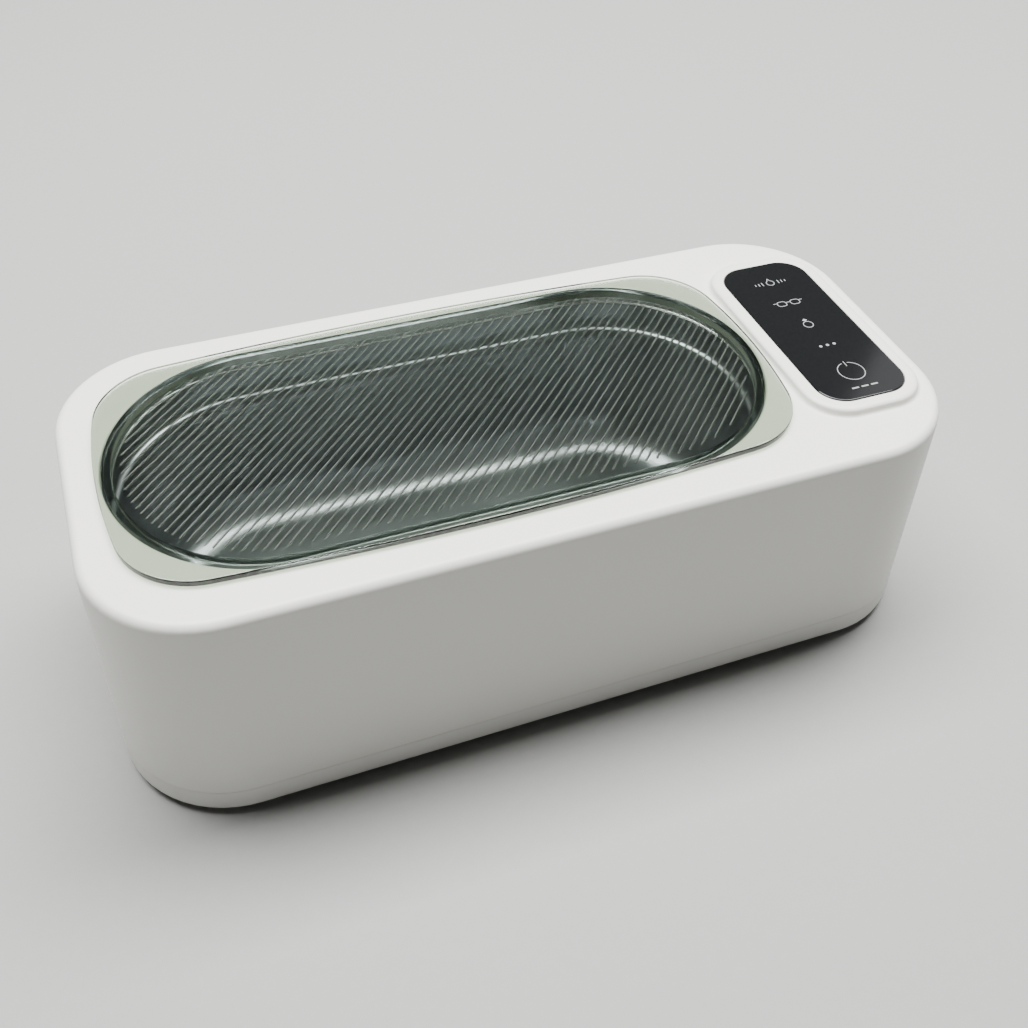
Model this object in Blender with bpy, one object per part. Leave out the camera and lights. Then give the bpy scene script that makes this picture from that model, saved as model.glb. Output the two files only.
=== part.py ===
"""Ultrasonic cleaner for glasses and jewellery, with a lift-off ribbed lid and a touch panel.

Frame: +X runs along the length towards the control panel, -Y is the front and +Z is up.
The origin is on the surface that the feet stand on, under the middle of the body.
Every size below is in millimetres. The scene is in metres.
"""

import math

import bmesh
import bpy
from mathutils import Matrix, Vector

MM = 0.001

# Body. Its sides draft outwards towards the base, so the sizes are those at the deck.
DECK_LENGTH = 200.0
DECK_WIDTH = 92.3
DECK_CORNER = 25.7
BODY_HEIGHT = 61.0
DRAFT = 0.015
WALL = 2.2
DECK_THICKNESS = 2.5
DECK_EDGE_ROUND = 2.1
BASE_BAND = 6.8
BASE_FLOOR = 2.2
BASE_EDGE_ROUND = 1.8
BASE_LIP = 3.0
BASE_LIP_WALL = 1.5
SEAM = 0.3
FIT_GAP = 0.3

# How far a boss runs into the wall it grows from, how far a cutter runs past the face
# it opens, and how much deck is left over a blind screw hole.
ROOT = 0.5
OVERCUT = 1.0
BLIND_ROOF = 0.8

# Feet, stuck into shallow recesses.
FOOT_RADIUS = 6.0
FOOT_EDGE = 0.6
FOOT_PROUD = 1.5
FOOT_RECESS = 0.8
FOOT_FROM_END = 33.0
FOOT_FROM_SIDE = 17.0

# Control panel: a lens in a raised boss, over a light mask and a touch board.
PANEL_FROM_END = 19.6
LENS_FROM_SIDE = 17.35
LENS_WIDTH = 23.5
LENS_CORNER = 6.8
LENS_THICKNESS = 1.6
LENS_EDGE_ROUND = 0.3
LENS_PROUD = 0.15
LENS_LEDGE = 2.0
BOSS_MARGIN = 3.3
BOSS_HEIGHT = 2.0
BOSS_EDGE_ROUND = 1.5
TOUCH_BOARD_DROP = 3.0
TOUCH_BOARD_THICKNESS = 1.2
TOUCH_BOARD_MARGIN = 1.0
TOUCH_BOARD_EAR = 2.0
TOUCH_SCREW_FROM_LENS = 4.2
TOUCH_SCREW_INSET = 2.0
TOUCH_CHIP = (4.0, 8.0, 1.4)
TOUCH_CHIP_Y = 8.0
LED = (1.6, 0.9, 0.7)
FIRST_MODE_FROM_END = 8.5
LAST_MODE_FROM_END = 20.6
POWER_KEY_FROM_END = 9.7
MODES = 4
LIGHT_WELL_RADIUS = 1.9
SPRING_WELL_RADIUS = 3.6
SPRING_RADIUS = 2.6
SPRING_WIRE = 0.3
SPRING_TURNS = 4

# Lid: a thin plate on the deck, with a skirt that drops into the tank opening.
LID_FROM_END = 6.9
LID_FROM_SIDE = 8.4
LID_TO_BOSS = 1.45
LID_LONG_BOW = 3.4
LID_SHORT_BOW = 5.3
LID_CORNER = 17.8
LID_PLATE = 1.6
LID_EDGE_ROUND = 0.4
SKIRT_FROM_LID_END = 1.4
SKIRT_FROM_LID_SIDE = 2.35
SKIRT_WALL = 1.9
SKIRT_DEPTH = 3.6
SKIRT_GAP = 0.4

# Tank: a drawn steel pan, hung by its flange under the deck on a gasket.
TANK_SHEET = 0.8
TANK_FLOOR_OVER_BASE = 12.0
TANK_FLANGE = 4.0
TANK_LIP_ROUND = 1.2
TANK_INSET = 0.2
TANK_SHOULDER_DROP = 12.0
TANK_SHOULDER_STEP = 1.6
TANK_WALL_DRAFT = 0.02
TANK_FLOOR_ROUND = 9.0
GASKET_THICKNESS = 1.0
GASKET_WIDTH = 2.1
EAR_RADIUS = 2.6
EAR_FROM_BEND = 3.7
EAR_FROM_MOUTH = 5.0

# Transducer, bonded under the tank floor, and the wires that serve it and the socket.
TRANSDUCER_RADIUS = 22.0
TRANSDUCER_THICKNESS = 2.6
BOND_THICKNESS = 0.5
BOND_SQUEEZE = 0.6
WIRE_RADIUS = 0.55
WIRE_HEIGHT = 2.0

# Main board, on pillars in the bay under the control panel.
BOARD_FROM_END_WALL = 16.3
BOARD_FROM_SIDE_WALL = 15.95
BOARD_LENGTH = 27.0
BOARD_THICKNESS = 1.6
PILLAR_HEIGHT = 3.5
PILLAR_RADIUS = 2.5
BOARD_SCREW_INSET = 3.0

# Parts on the main board. Places are (x, y) from the board's middle.
CONNECTOR_HEIGHT = 6.0
CONNECTORS = {
    "transducer_connector": ((-10.8, -5.0), (4.4, 5.0)),
    "panel_connector": ((2.0, 22.2), (10.0, 4.4)),
    "power_connector": ((-6.8, 21.4), (4.8, 4.4)),
}
CORE = (6.0, 20.0, 16.0)
CORE_LEG = 4.0
CORE_PLACE = (-4.5, 8.0)
WINDING_CORNER = 2.5
CHOKE_RADIUS = 4.6
CHOKE_THICKNESS = 1.7
CHOKE_PLACE = (9.6, -8.0)
HEATSINK_LENGTH = 18.0
HEATSINK_BACK = 1.6
HEATSINK_HEIGHT = 20.0
HEATSINK_PLACE = (-3.2, -13.0)
FINS = 6
FIN_THICKNESS = 1.2
FIN_DEPTH = 4.8
TRANSISTOR = (10.0, 4.4, 15.0)
CAPACITOR_RADIUS = 4.0
CAPACITOR_HEIGHT = 13.0
CAPACITOR_PLACES = ((8.9, 4.0), (8.9, 13.4))
FUSE_RADIUS = 3.8
FUSE_HEIGHT = 7.0
FUSE_PLACE = (2.0, -23.3)
CONTROL_CHIP = (5.0, 7.0, 1.6)
CONTROL_CHIP_PLACE = (-5.6, -23.4)
RIBBON_WIDTH = 8.0
RIBBON_THICKNESS = 0.7

# Socket for the mains adapter, in the back wall.
JACK_FROM_END = 26.0
JACK_OVER_SEAM = 8.7
JACK_COLLAR_RADIUS = 4.4
JACK_BORE_RADIUS = 2.8
JACK_PIN_RADIUS = 1.0
JACK_BORE_DEPTH = 9.0
JACK_BODY = (9.0, 9.5, 10.0)
JACK_RECESS = 0.4

# Posts that the base screws run into.
POST_FROM_END = 14.0
POST_FROM_SIDE = 13.1
POST_RADIUS = 3.5
POST_PILOT_DEPTH = 9.0
BASE_TUBE_RADIUS = 4.2
COUNTERBORE_RADIUS = 2.9
COUNTERBORE_DEPTH = 4.0

# Screws: head radius, head height, shank radius. Then the shank lengths, by use.
BIG_SCREW = (2.5, 1.7, 1.25)
SMALL_SCREW = (1.8, 1.2, 1.0)
BASE_SCREW_SHANK = 11.0
TANK_SCREW_SHANK = 4.0
TOUCH_SCREW_SHANK = 4.6
BOARD_SCREW_SHANK = 5.0
SCREW_BOSS_RADIUS = 2.2

# Smoothness of the round shapes.
CORNER_STEPS = 8
HALF_ROUND_STEPS = 18
EDGE_STEPS = 3

# Heights that follow from the sizes above.
BASE_Z = FOOT_PROUD
FLOOR_Z = BASE_Z + BASE_FLOOR
DECK_Z = BASE_Z + BODY_HEIGHT
DECK_UNDER_Z = DECK_Z - DECK_THICKNESS
SEAM_Z = BASE_Z + BASE_BAND
BOSS_Z = DECK_Z + BOSS_HEIGHT
POST_Z = SEAM_Z + 1.0
SCREW_SEAT_Z = BASE_Z + COUNTERBORE_DEPTH
GASKET_Z = DECK_UNDER_Z - FIT_GAP - GASKET_THICKNESS
FLANGE_Z = GASKET_Z - FIT_GAP
TANK_FLOOR_Z = BASE_Z + TANK_FLOOR_OVER_BASE
TANK_UNDER_Z = TANK_FLOOR_Z - TANK_SHEET
BOARD_Z = FLOOR_Z + PILLAR_HEIGHT + FIT_GAP
BOARD_TOP_Z = BOARD_Z + BOARD_THICKNESS
TOUCH_BOARD_Z = DECK_UNDER_Z - TOUCH_BOARD_DROP - FIT_GAP - TOUCH_BOARD_THICKNESS
TOUCH_BOARD_TOP_Z = TOUCH_BOARD_Z + TOUCH_BOARD_THICKNESS
LENS_Z = BOSS_Z + LENS_PROUD - LENS_THICKNESS
JACK_Z = SEAM_Z + JACK_OVER_SEAM

# Lengths and places that follow from them.
PANEL_X = DECK_LENGTH / 2 - PANEL_FROM_END
LENS_LENGTH = DECK_WIDTH - 2 * LENS_FROM_SIDE
LID_LEFT = LID_FROM_END - DECK_LENGTH / 2
LID_RIGHT = PANEL_X - LENS_WIDTH / 2 - BOSS_MARGIN - LID_TO_BOSS
LID_LENGTH = LID_RIGHT - LID_LEFT
LID_WIDTH = DECK_WIDTH - 2 * LID_FROM_SIDE
LID_CENTRE_X = (LID_LEFT + LID_RIGHT) / 2
SKIRT_LENGTH = LID_LENGTH - 2 * SKIRT_FROM_LID_END
SKIRT_WIDTH = LID_WIDTH - 2 * SKIRT_FROM_LID_SIDE
OPENING_LENGTH = SKIRT_LENGTH + 2 * SKIRT_GAP
OPENING_WIDTH = SKIRT_WIDTH + 2 * SKIRT_GAP
EAR_SPACING = (OPENING_LENGTH - OPENING_WIDTH) / 2 - EAR_FROM_BEND
MODE_SPACING = (LENS_LENGTH - FIRST_MODE_FROM_END - LAST_MODE_FROM_END) / (MODES - 1)
BOARD_X = DECK_LENGTH / 2 - WALL - BOARD_FROM_END_WALL
BOARD_WIDTH = DECK_WIDTH - 2 * (WALL + BOARD_FROM_SIDE_WALL)
JACK_X = DECK_LENGTH / 2 - JACK_FROM_END
JACK_WALL_Y = DECK_WIDTH / 2 + DRAFT * (DECK_Z - JACK_Z)


# ---------------------------------------------------------------- outlines


def arc(centre, radius, start, end, steps):
    """Points on an arc between two angles in degrees, both ends included."""
    points = []
    for step in range(steps + 1):
        angle = math.radians(start + (end - start) * step / steps)
        x = centre[0] + radius * math.cos(angle)
        y = centre[1] + radius * math.sin(angle)
        points.append((x, y))
    return points


def rounded_rectangle(length, width, radius, steps=CORNER_STEPS):
    points = []
    for quarter, (side_x, side_y) in enumerate([(1, 1), (-1, 1), (-1, -1), (1, -1)]):
        centre = (side_x * (length / 2 - radius), side_y * (width / 2 - radius))
        points += arc(centre, radius, 90 * quarter, 90 * quarter + 90, steps)
    return points


def obround(length, width, steps=HALF_ROUND_STEPS):
    radius = width / 2
    reach = length / 2 - radius
    right = arc((reach, 0), radius, -90, 90, steps)
    left = arc((-reach, 0), radius, 90, 270, steps)
    return right + left


def circle_crossing(centre_a, radius_a, centre_b, radius_b):
    """Where two circles cross, on the upper right side."""
    a = Vector(centre_a)
    b = Vector(centre_b)
    apart = (b - a).length
    along = (apart**2 + radius_a**2 - radius_b**2) / (2 * apart)
    across = math.sqrt(radius_a**2 - along**2)
    direction = (b - a) / apart
    middle = a + direction * along
    sides = [middle + across * side * Vector((-direction.y, direction.x)) for side in (1, -1)]
    return max(sides, key=lambda point: point.x + point.y)


def bowed_rectangle(length, width, long_bow, short_bow, corner):
    """A rectangle whose four sides bulge as wide arcs, joined by round corners."""
    long_radius = ((length / 2) ** 2 + long_bow**2) / (2 * long_bow)
    short_radius = ((width / 2) ** 2 + short_bow**2) / (2 * short_bow)
    long_centre = Vector((0, width / 2 - long_radius))
    short_centre = Vector((length / 2 - short_radius, 0))
    corner_centre = circle_crossing(
        long_centre, long_radius - corner, short_centre, short_radius - corner
    )
    to_short = corner_centre - short_centre
    to_long = corner_centre - long_centre
    short_angle = math.degrees(math.atan2(to_short.y, to_short.x))
    long_angle = math.degrees(math.atan2(to_long.y, to_long.x))
    quarter = arc(short_centre, short_radius, 0, short_angle, 3)
    quarter += arc(corner_centre, corner, short_angle, long_angle, CORNER_STEPS)[1:]
    quarter += arc(long_centre, long_radius, long_angle, 90, 4)[1:]
    half = quarter + [(-x, y) for x, y in reversed(quarter[:-1])]
    return half + [(x, -y) for x, y in reversed(half[1:-1])]


def at_height(outline, z, centre=(0, 0)):
    return [(x + centre[0], y + centre[1], z) for x, y in outline]


def body_ring(z, inset):
    """The body's outline at a height, moved in from its outer side by inset."""
    grow = DRAFT * (DECK_Z - z) - inset
    outline = rounded_rectangle(
        DECK_LENGTH + 2 * grow, DECK_WIDTH + 2 * grow, DECK_CORNER + grow
    )
    return at_height(outline, z)


def edge_round(radius, steps=EDGE_STEPS):
    """(inset, drop) pairs of a quarter round, from the side up to the flat."""
    pairs = []
    for step in range(steps + 1):
        angle = math.radians(90 * step / steps)
        pairs.append((radius * (1 - math.cos(angle)), radius * (1 - math.sin(angle))))
    return pairs


def offset_profile(points, distance):
    """Moves a profile of (inset, z) points sideways by a wall's thickness."""
    moved = []
    for index, point in enumerate(points):
        here = Vector(point)
        before = Vector(points[max(index - 1, 0)])
        after = Vector(points[min(index + 1, len(points) - 1)])
        normals = []
        for run in (here - before, after - here):
            if run.length > 0:
                normals.append(Vector((run.y, -run.x)).normalized())
        middle = (normals[0] + normals[-1]).normalized()
        moved.append(tuple(here + middle * distance / middle.dot(normals[0])))
    return moved


# ---------------------------------------------------------------- solids


def loft(rings, closed=False):
    """A solid skinned over rings with equal numbers of points.

    Both ends are capped, or the last ring joins the first and makes a loop.
    """
    if closed:
        rings = rings + [rings[0]]
    bm = bmesh.new()
    first = [bm.verts.new(Vector(point) * MM) for point in rings[0]]
    cap = bm.faces.new(first)
    for ring in rings[1:]:
        cap = bmesh.ops.extrude_discrete_faces(bm, faces=[cap])["faces"][0]
        for vert, point in zip(cap.verts, ring):
            vert.co = Vector(point) * MM
    if closed:
        bmesh.ops.delete(bm, geom=[cap], context="FACES_ONLY")
        bmesh.ops.remove_doubles(bm, verts=bm.verts, dist=1e-7)
    else:
        bm.faces.new(first)
    bmesh.ops.recalc_face_normals(bm, faces=bm.faces)
    return bm


def prism(outline, bottom, top):
    return loft([at_height(outline, bottom), at_height(outline, top)])


def turned(profile, steps):
    """A solid turned about +Z from (radius, z) points that start and end on the axis."""
    bm = bmesh.new()
    verts = [bm.verts.new(Vector((radius, 0, z)) * MM) for radius, z in profile]
    edges = [bm.edges.new(pair) for pair in zip(verts, verts[1:])]
    bmesh.ops.spin(
        bm,
        geom=verts + edges,
        cent=(0, 0, 0),
        axis=(0, 0, 1),
        angle=math.tau,
        steps=steps,
        use_merge=True,
    )
    bmesh.ops.remove_doubles(bm, verts=bm.verts, dist=1e-7)
    bmesh.ops.recalc_face_normals(bm, faces=bm.faces)
    return bm


def block(size, bevel=0.0):
    """A box on its own base, centred in X and Y, with bevelled edges if asked."""
    bm = bmesh.new()
    bmesh.ops.create_cube(bm, size=1)
    bmesh.ops.translate(bm, verts=bm.verts, vec=(0, 0, 0.5))
    bmesh.ops.scale(bm, verts=bm.verts, vec=Vector(size) * MM)
    if bevel:
        bmesh.ops.bevel(
            bm, geom=bm.edges[:], offset=bevel * MM, segments=1, affect="EDGES", profile=0.5
        )
    return bm


def cylinders(places, radius, bottom, top, steps=16):
    """One mesh of upright cylinders at (x, y) places."""
    bm = bmesh.new()
    for x, y in places:
        middle = Vector((x, y, (bottom + top) / 2)) * MM
        bmesh.ops.create_cone(
            bm,
            cap_ends=True,
            segments=steps,
            radius1=radius * MM,
            radius2=radius * MM,
            depth=(top - bottom) * MM,
            matrix=Matrix.Translation(middle),
        )
    return bm


def finish(obj, material):
    if material:
        obj.data.materials.append(material)
    if obj.type == "MESH":
        obj.data.shade_smooth()
        obj.data.set_sharp_from_angle(angle=math.radians(32))
    return obj


def piece(name, bm, material=None, place=(0, 0, 0), turn=(0, 0, 0), parent=None):
    """Makes a named object from a bmesh and puts it in its place."""
    mesh = bpy.data.meshes.new(name)
    bm.to_mesh(mesh)
    bm.free()
    obj = bpy.data.objects.new(name, mesh)
    bpy.context.scene.collection.objects.link(obj)
    obj.location = Vector(place) * MM
    obj.rotation_euler = [math.radians(angle) for angle in turn]
    obj.parent = parent
    return finish(obj, material)


def boolean(obj, operation, name, bm, parent=None):
    """Adds or cuts a hidden helper body."""
    helper = piece(name, bm, parent=parent)
    helper.hide_render = True
    helper.display_type = "WIRE"
    modifier = obj.modifiers.new(name, "BOOLEAN")
    modifier.operation = operation
    modifier.object = helper
    modifier.solver = "EXACT"


def smooth_route(points, steps):
    """A smooth curve through the points. It leans only as far as the nearer neighbour's distance."""
    points = [Vector(point) for point in points]
    slopes = []
    for index, point in enumerate(points):
        before = points[max(index - 1, 0)]
        after = points[min(index + 1, len(points) - 1)]
        reaches = [gap for gap in ((point - before).length, (after - point).length) if gap > 0]
        slopes.append((after - before).normalized() * min(reaches))
    route = []
    for index in range(len(points) - 1):
        start, end = points[index : index + 2]
        leave, arrive = slopes[index : index + 2]
        for step in range(steps):
            t = step / steps
            near = 2 * t**3 - 3 * t**2 + 1
            far = 3 * t**2 - 2 * t**3
            turn = (t**3 - 2 * t**2 + t) * leave + (t**3 - t**2) * arrive
            route.append(near * start + far * end + turn)
    return route + [points[-1]]


def lead(name, points, radius, material, resolution=1):
    """A wire as a round tube along its route, with closed ends."""
    curve = bpy.data.curves.new(name, "CURVE")
    curve.dimensions = "3D"
    curve.bevel_depth = radius * MM
    curve.bevel_resolution = resolution
    curve.use_fill_caps = True
    spline = curve.splines.new("POLY")
    spline.points.add(len(points) - 1)
    for target, point in zip(spline.points, points):
        target.co = (Vector(point) * MM).to_4d()
    obj = bpy.data.objects.new(name, curve)
    bpy.context.scene.collection.objects.link(obj)
    return finish(obj, material)


def surface(name, colour, roughness, metallic=0.0, alpha=1.0):
    """A Principled material from a linear colour."""
    made = bpy.data.materials.new(name)
    made.use_nodes = True
    shader = made.node_tree.nodes["Principled BSDF"]
    shader.inputs["Base Color"].default_value = (*colour, 1.0)
    shader.inputs["Roughness"].default_value = roughness
    shader.inputs["Metallic"].default_value = metallic
    shader.inputs["Alpha"].default_value = alpha
    return made


# ---------------------------------------------------------------- places shared by pieces


def mirrored(x, y):
    return [(side_x * x, side_y * y) for side_x in (-1, 1) for side_y in (-1, 1)]


def post_places():
    return mirrored(DECK_LENGTH / 2 - POST_FROM_END, DECK_WIDTH / 2 - POST_FROM_SIDE)


def foot_places():
    return mirrored(DECK_LENGTH / 2 - FOOT_FROM_END, DECK_WIDTH / 2 - FOOT_FROM_SIDE)


def ear_places():
    reach = OPENING_WIDTH / 2 + EAR_FROM_MOUTH
    shifts = (-EAR_SPACING, 0, EAR_SPACING)
    return [(LID_CENTRE_X + shift, side * reach) for side in (-1, 1) for shift in shifts]


def board_screw_places():
    x = BOARD_LENGTH / 2 - BOARD_SCREW_INSET
    y = BOARD_WIDTH / 2 - BOARD_SCREW_INSET
    return [(BOARD_X + shift_x, shift_y) for shift_x, shift_y in mirrored(x, y)]


def touch_screw_places():
    x = PANEL_X - LENS_WIDTH / 2 + TOUCH_SCREW_INSET
    y = LENS_LENGTH / 2 + TOUCH_SCREW_FROM_LENS
    return [(x, -y), (x, y)]


def mode_places():
    """The mode lights, from the back of the panel towards the power key."""
    first = LENS_LENGTH / 2 - FIRST_MODE_FROM_END
    return [(PANEL_X, first - MODE_SPACING * number) for number in range(MODES)]


def power_key_place():
    return (PANEL_X, POWER_KEY_FROM_END - LENS_LENGTH / 2)


# ---------------------------------------------------------------- housing and base


def boss_rings():
    """The raised frame around the lens, from inside the deck to its rounded top."""
    length = LENS_WIDTH + 2 * BOSS_MARGIN
    width = LENS_LENGTH + 2 * BOSS_MARGIN
    corner = LENS_CORNER + BOSS_MARGIN
    levels = [(0, DECK_Z - ROOT)]
    levels += [(inset, BOSS_Z - drop) for inset, drop in edge_round(BOSS_EDGE_ROUND)]
    rings = []
    for inset, z in levels:
        outline = rounded_rectangle(length - 2 * inset, width - 2 * inset, corner - inset)
        rings.append(at_height(outline, z, (PANEL_X, 0)))
    return rings


def make_upper_housing(material):
    rim = SEAM_Z + SEAM
    rings = [body_ring(DECK_UNDER_Z, WALL), body_ring(rim, WALL), body_ring(rim, 0)]
    for inset, drop in edge_round(DECK_EDGE_ROUND):
        rings.append(body_ring(DECK_Z - drop, inset))
    housing = piece("upper_housing", loft(rings), material)

    into_deck = DECK_UNDER_Z + ROOT
    touch_boss_z = DECK_UNDER_Z - TOUCH_BOARD_DROP
    posts = cylinders(post_places(), POST_RADIUS, POST_Z, into_deck)
    tank_bosses = cylinders(ear_places(), SCREW_BOSS_RADIUS, GASKET_Z, into_deck, 12)
    touch_bosses = cylinders(touch_screw_places(), SCREW_BOSS_RADIUS, touch_boss_z, into_deck, 12)
    boolean(housing, "UNION", "panel_boss_shape", loft(boss_rings()))
    boolean(housing, "UNION", "post_shapes", posts)
    boolean(housing, "UNION", "tank_boss_shapes", tank_bosses)
    boolean(housing, "UNION", "touch_boss_shapes", touch_bosses)

    opening = loft([tank_ring(0, GASKET_Z - OVERCUT), tank_ring(0, DECK_Z + OVERCUT)])
    pocket = lens_prism(FIT_GAP, LENS_Z - FIT_GAP, BOSS_Z + OVERCUT)
    window = lens_prism(-LENS_LEDGE, DECK_UNDER_Z - OVERCUT, BOSS_Z)
    boolean(housing, "DIFFERENCE", "tank_opening", opening)
    boolean(housing, "DIFFERENCE", "lens_pocket", pocket)
    boolean(housing, "DIFFERENCE", "lens_window", window)

    big_pilot = BIG_SCREW[2] + FIT_GAP
    small_pilot = SMALL_SCREW[2] + FIT_GAP
    roof = DECK_Z - BLIND_ROOF
    post_holes = cylinders(post_places(), big_pilot, POST_Z - OVERCUT, POST_Z + POST_PILOT_DEPTH, 12)
    tank_holes = cylinders(ear_places(), small_pilot, GASKET_Z - OVERCUT, roof, 10)
    touch_holes = cylinders(touch_screw_places(), small_pilot, touch_boss_z - OVERCUT, roof, 10)
    boolean(housing, "DIFFERENCE", "post_pilots", post_holes)
    boolean(housing, "DIFFERENCE", "tank_pilots", tank_holes)
    boolean(housing, "DIFFERENCE", "touch_pilots", touch_holes)

    radius = JACK_COLLAR_RADIUS + FIT_GAP
    inside = -WALL - OVERCUT - FIT_GAP
    profile = [(0, inside), (radius, inside), (radius, OVERCUT), (0, OVERCUT)]
    boolean(housing, "DIFFERENCE", "jack_hole", turned_along_y(profile, JACK_WALL_Y))


def lens_prism(grow, bottom, top):
    """The lens outline grown by a clearance, or shrunk by a ledge."""
    outline = rounded_rectangle(
        LENS_WIDTH + 2 * grow, LENS_LENGTH + 2 * grow, LENS_CORNER + grow, 6
    )
    return prism([(x + PANEL_X, y) for x, y in outline], bottom, top)


def make_base_cover(material):
    lip_outer = WALL + FIT_GAP
    lip_inner = lip_outer + BASE_LIP_WALL
    lip_top = SEAM_Z + BASE_LIP
    rings = [
        body_ring(FLOOR_Z, lip_inner),
        body_ring(lip_top, lip_inner),
        body_ring(lip_top, lip_outer),
        body_ring(SEAM_Z, lip_outer),
        body_ring(SEAM_Z, 0),
    ]
    for inset, rise in edge_round(BASE_EDGE_ROUND):
        rings.append(body_ring(BASE_Z + rise, inset))
    base = piece("base_cover", loft(rings), material)

    tube_top = POST_Z - FIT_GAP
    pillar_top = FLOOR_Z + PILLAR_HEIGHT
    tubes = cylinders(post_places(), BASE_TUBE_RADIUS, BASE_Z + ROOT, tube_top)
    pillars = cylinders(board_screw_places(), PILLAR_RADIUS, BASE_Z + ROOT, pillar_top, 12)
    boolean(base, "UNION", "screw_tubes", tubes)
    boolean(base, "UNION", "board_pillars", pillars)

    outside = BASE_Z - OVERCUT
    big_hole = BIG_SCREW[2] + FIT_GAP
    small_hole = SMALL_SCREW[2] + FIT_GAP
    foot_hole = FOOT_RADIUS + FIT_GAP
    counterbores = cylinders(post_places(), COUNTERBORE_RADIUS, outside, SCREW_SEAT_Z)
    screw_holes = cylinders(post_places(), big_hole, outside, tube_top + OVERCUT, 12)
    pilots = cylinders(board_screw_places(), small_hole, BASE_Z + OVERCUT, pillar_top + OVERCUT, 10)
    recesses = cylinders(foot_places(), foot_hole, outside, BASE_Z + FOOT_RECESS, 24)
    boolean(base, "DIFFERENCE", "counterbores", counterbores)
    boolean(base, "DIFFERENCE", "screw_holes", screw_holes)
    boolean(base, "DIFFERENCE", "pillar_pilots", pilots)
    boolean(base, "DIFFERENCE", "foot_recesses", recesses)


def make_feet(material):
    top = FOOT_PROUD + FOOT_RECESS - FIT_GAP
    profile = [
        (0, 0),
        (FOOT_RADIUS - FOOT_EDGE, 0),
        (FOOT_RADIUS, FOOT_EDGE),
        (FOOT_RADIUS, top),
        (0, top),
    ]
    for number, (x, y) in enumerate(foot_places(), 1):
        piece(f"foot_{number}", turned(profile, 24), material, (x, y, 0))


def screw_profile(size, shank):
    """A pan head below its seat at z = 0, with the shank rising from it."""
    head_radius, head_height, shank_radius = size
    return [
        (0, -head_height),
        (head_radius * 0.7, -head_height),
        (head_radius, -head_height * 0.6),
        (head_radius, 0),
        (shank_radius, 0),
        (shank_radius, shank - 1),
        (shank_radius * 0.4, shank),
        (0, shank),
    ]


def make_screws(name, places, seat, size, shank, material, turn=(0, 0, 0)):
    for number, (x, y) in enumerate(places, 1):
        screw = turned(screw_profile(size, shank), 10)
        piece(f"{name}_{number}", screw, material, (x, y, seat), turn)


# ---------------------------------------------------------------- lid


def make_lid(material, parent):
    """The plate and its skirt, modelled about the lid's centre at the deck."""
    bottom = FIT_GAP
    top = FIT_GAP + LID_PLATE
    levels = [(inset, bottom + drop) for inset, drop in reversed(edge_round(LID_EDGE_ROUND, 2))]
    levels += [(inset, top - drop) for inset, drop in edge_round(LID_EDGE_ROUND, 2)]
    rings = []
    for inset, z in levels:
        outline = bowed_rectangle(
            LID_LENGTH - 2 * inset,
            LID_WIDTH - 2 * inset,
            LID_LONG_BOW,
            LID_SHORT_BOW,
            LID_CORNER - inset,
        )
        rings.append(at_height(outline, z))
    lid = piece("lid", loft(rings), material, parent=parent)

    outer = obround(SKIRT_LENGTH, SKIRT_WIDTH)
    inner = obround(SKIRT_LENGTH - 2 * SKIRT_WALL, SKIRT_WIDTH - 2 * SKIRT_WALL)
    into_plate = bottom + LID_PLATE / 2
    low = bottom - SKIRT_DEPTH
    skirt = loft(
        [
            at_height(inner, low),
            at_height(inner, into_plate),
            at_height(outer, into_plate),
            at_height(outer, low),
        ],
        closed=True,
    )
    boolean(lid, "UNION", "skirt_shape", skirt, parent)


# ---------------------------------------------------------------- tank


def tank_ring(inset, z):
    outline = obround(OPENING_LENGTH - 2 * inset, OPENING_WIDTH - 2 * inset)
    return at_height(outline, z, (LID_CENTRE_X, 0))


def tank_profile():
    """The inner surface as (inset from the mouth, z), from the flange's rim down to the floor."""
    shoulder_z = DECK_Z - TANK_SHOULDER_DROP
    shoulder = TANK_SHOULDER_STEP
    points = [(-TANK_FLANGE, FLANGE_Z)]
    for inset, drop in reversed(edge_round(TANK_LIP_ROUND)):
        points.append((-inset, FLANGE_Z - drop))
    for across, up in ((0, 1), (0.3, 0.4), (0.8, -0.4), (1, -1)):
        points.append((TANK_INSET + shoulder * across, shoulder_z + shoulder * up))
    wall_height = shoulder_z - shoulder - TANK_FLOOR_Z - TANK_FLOOR_ROUND
    wall = TANK_INSET + shoulder + TANK_WALL_DRAFT * wall_height
    for inset, drop in edge_round(TANK_FLOOR_ROUND, 5):
        points.append((wall + inset, TANK_FLOOR_Z + drop))
    return points


def make_tank(material):
    inside = tank_profile()
    outside = offset_profile(inside, TANK_SHEET)
    rings = [tank_ring(inset, z) for inset, z in reversed(inside)]
    rings += [tank_ring(inset, z) for inset, z in outside]
    tank = piece("tank", loft(rings), material)
    ears = cylinders(ear_places(), EAR_RADIUS, FLANGE_Z - TANK_SHEET, FLANGE_Z, 16)
    boolean(tank, "UNION", "flange_ears", ears)
    hole = SMALL_SCREW[2] + FIT_GAP
    holes = cylinders(ear_places(), hole, FLANGE_Z - TANK_SHEET - OVERCUT, FLANGE_Z + OVERCUT, 10)
    boolean(tank, "DIFFERENCE", "ear_holes", holes)


def make_gasket(material):
    inner = -FIT_GAP
    outer = -FIT_GAP - GASKET_WIDTH
    top = GASKET_Z + GASKET_THICKNESS
    rings = [
        tank_ring(inner, GASKET_Z),
        tank_ring(inner, top),
        tank_ring(outer, top),
        tank_ring(outer, GASKET_Z),
    ]
    piece("tank_gasket", loft(rings, closed=True), material)


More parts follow.
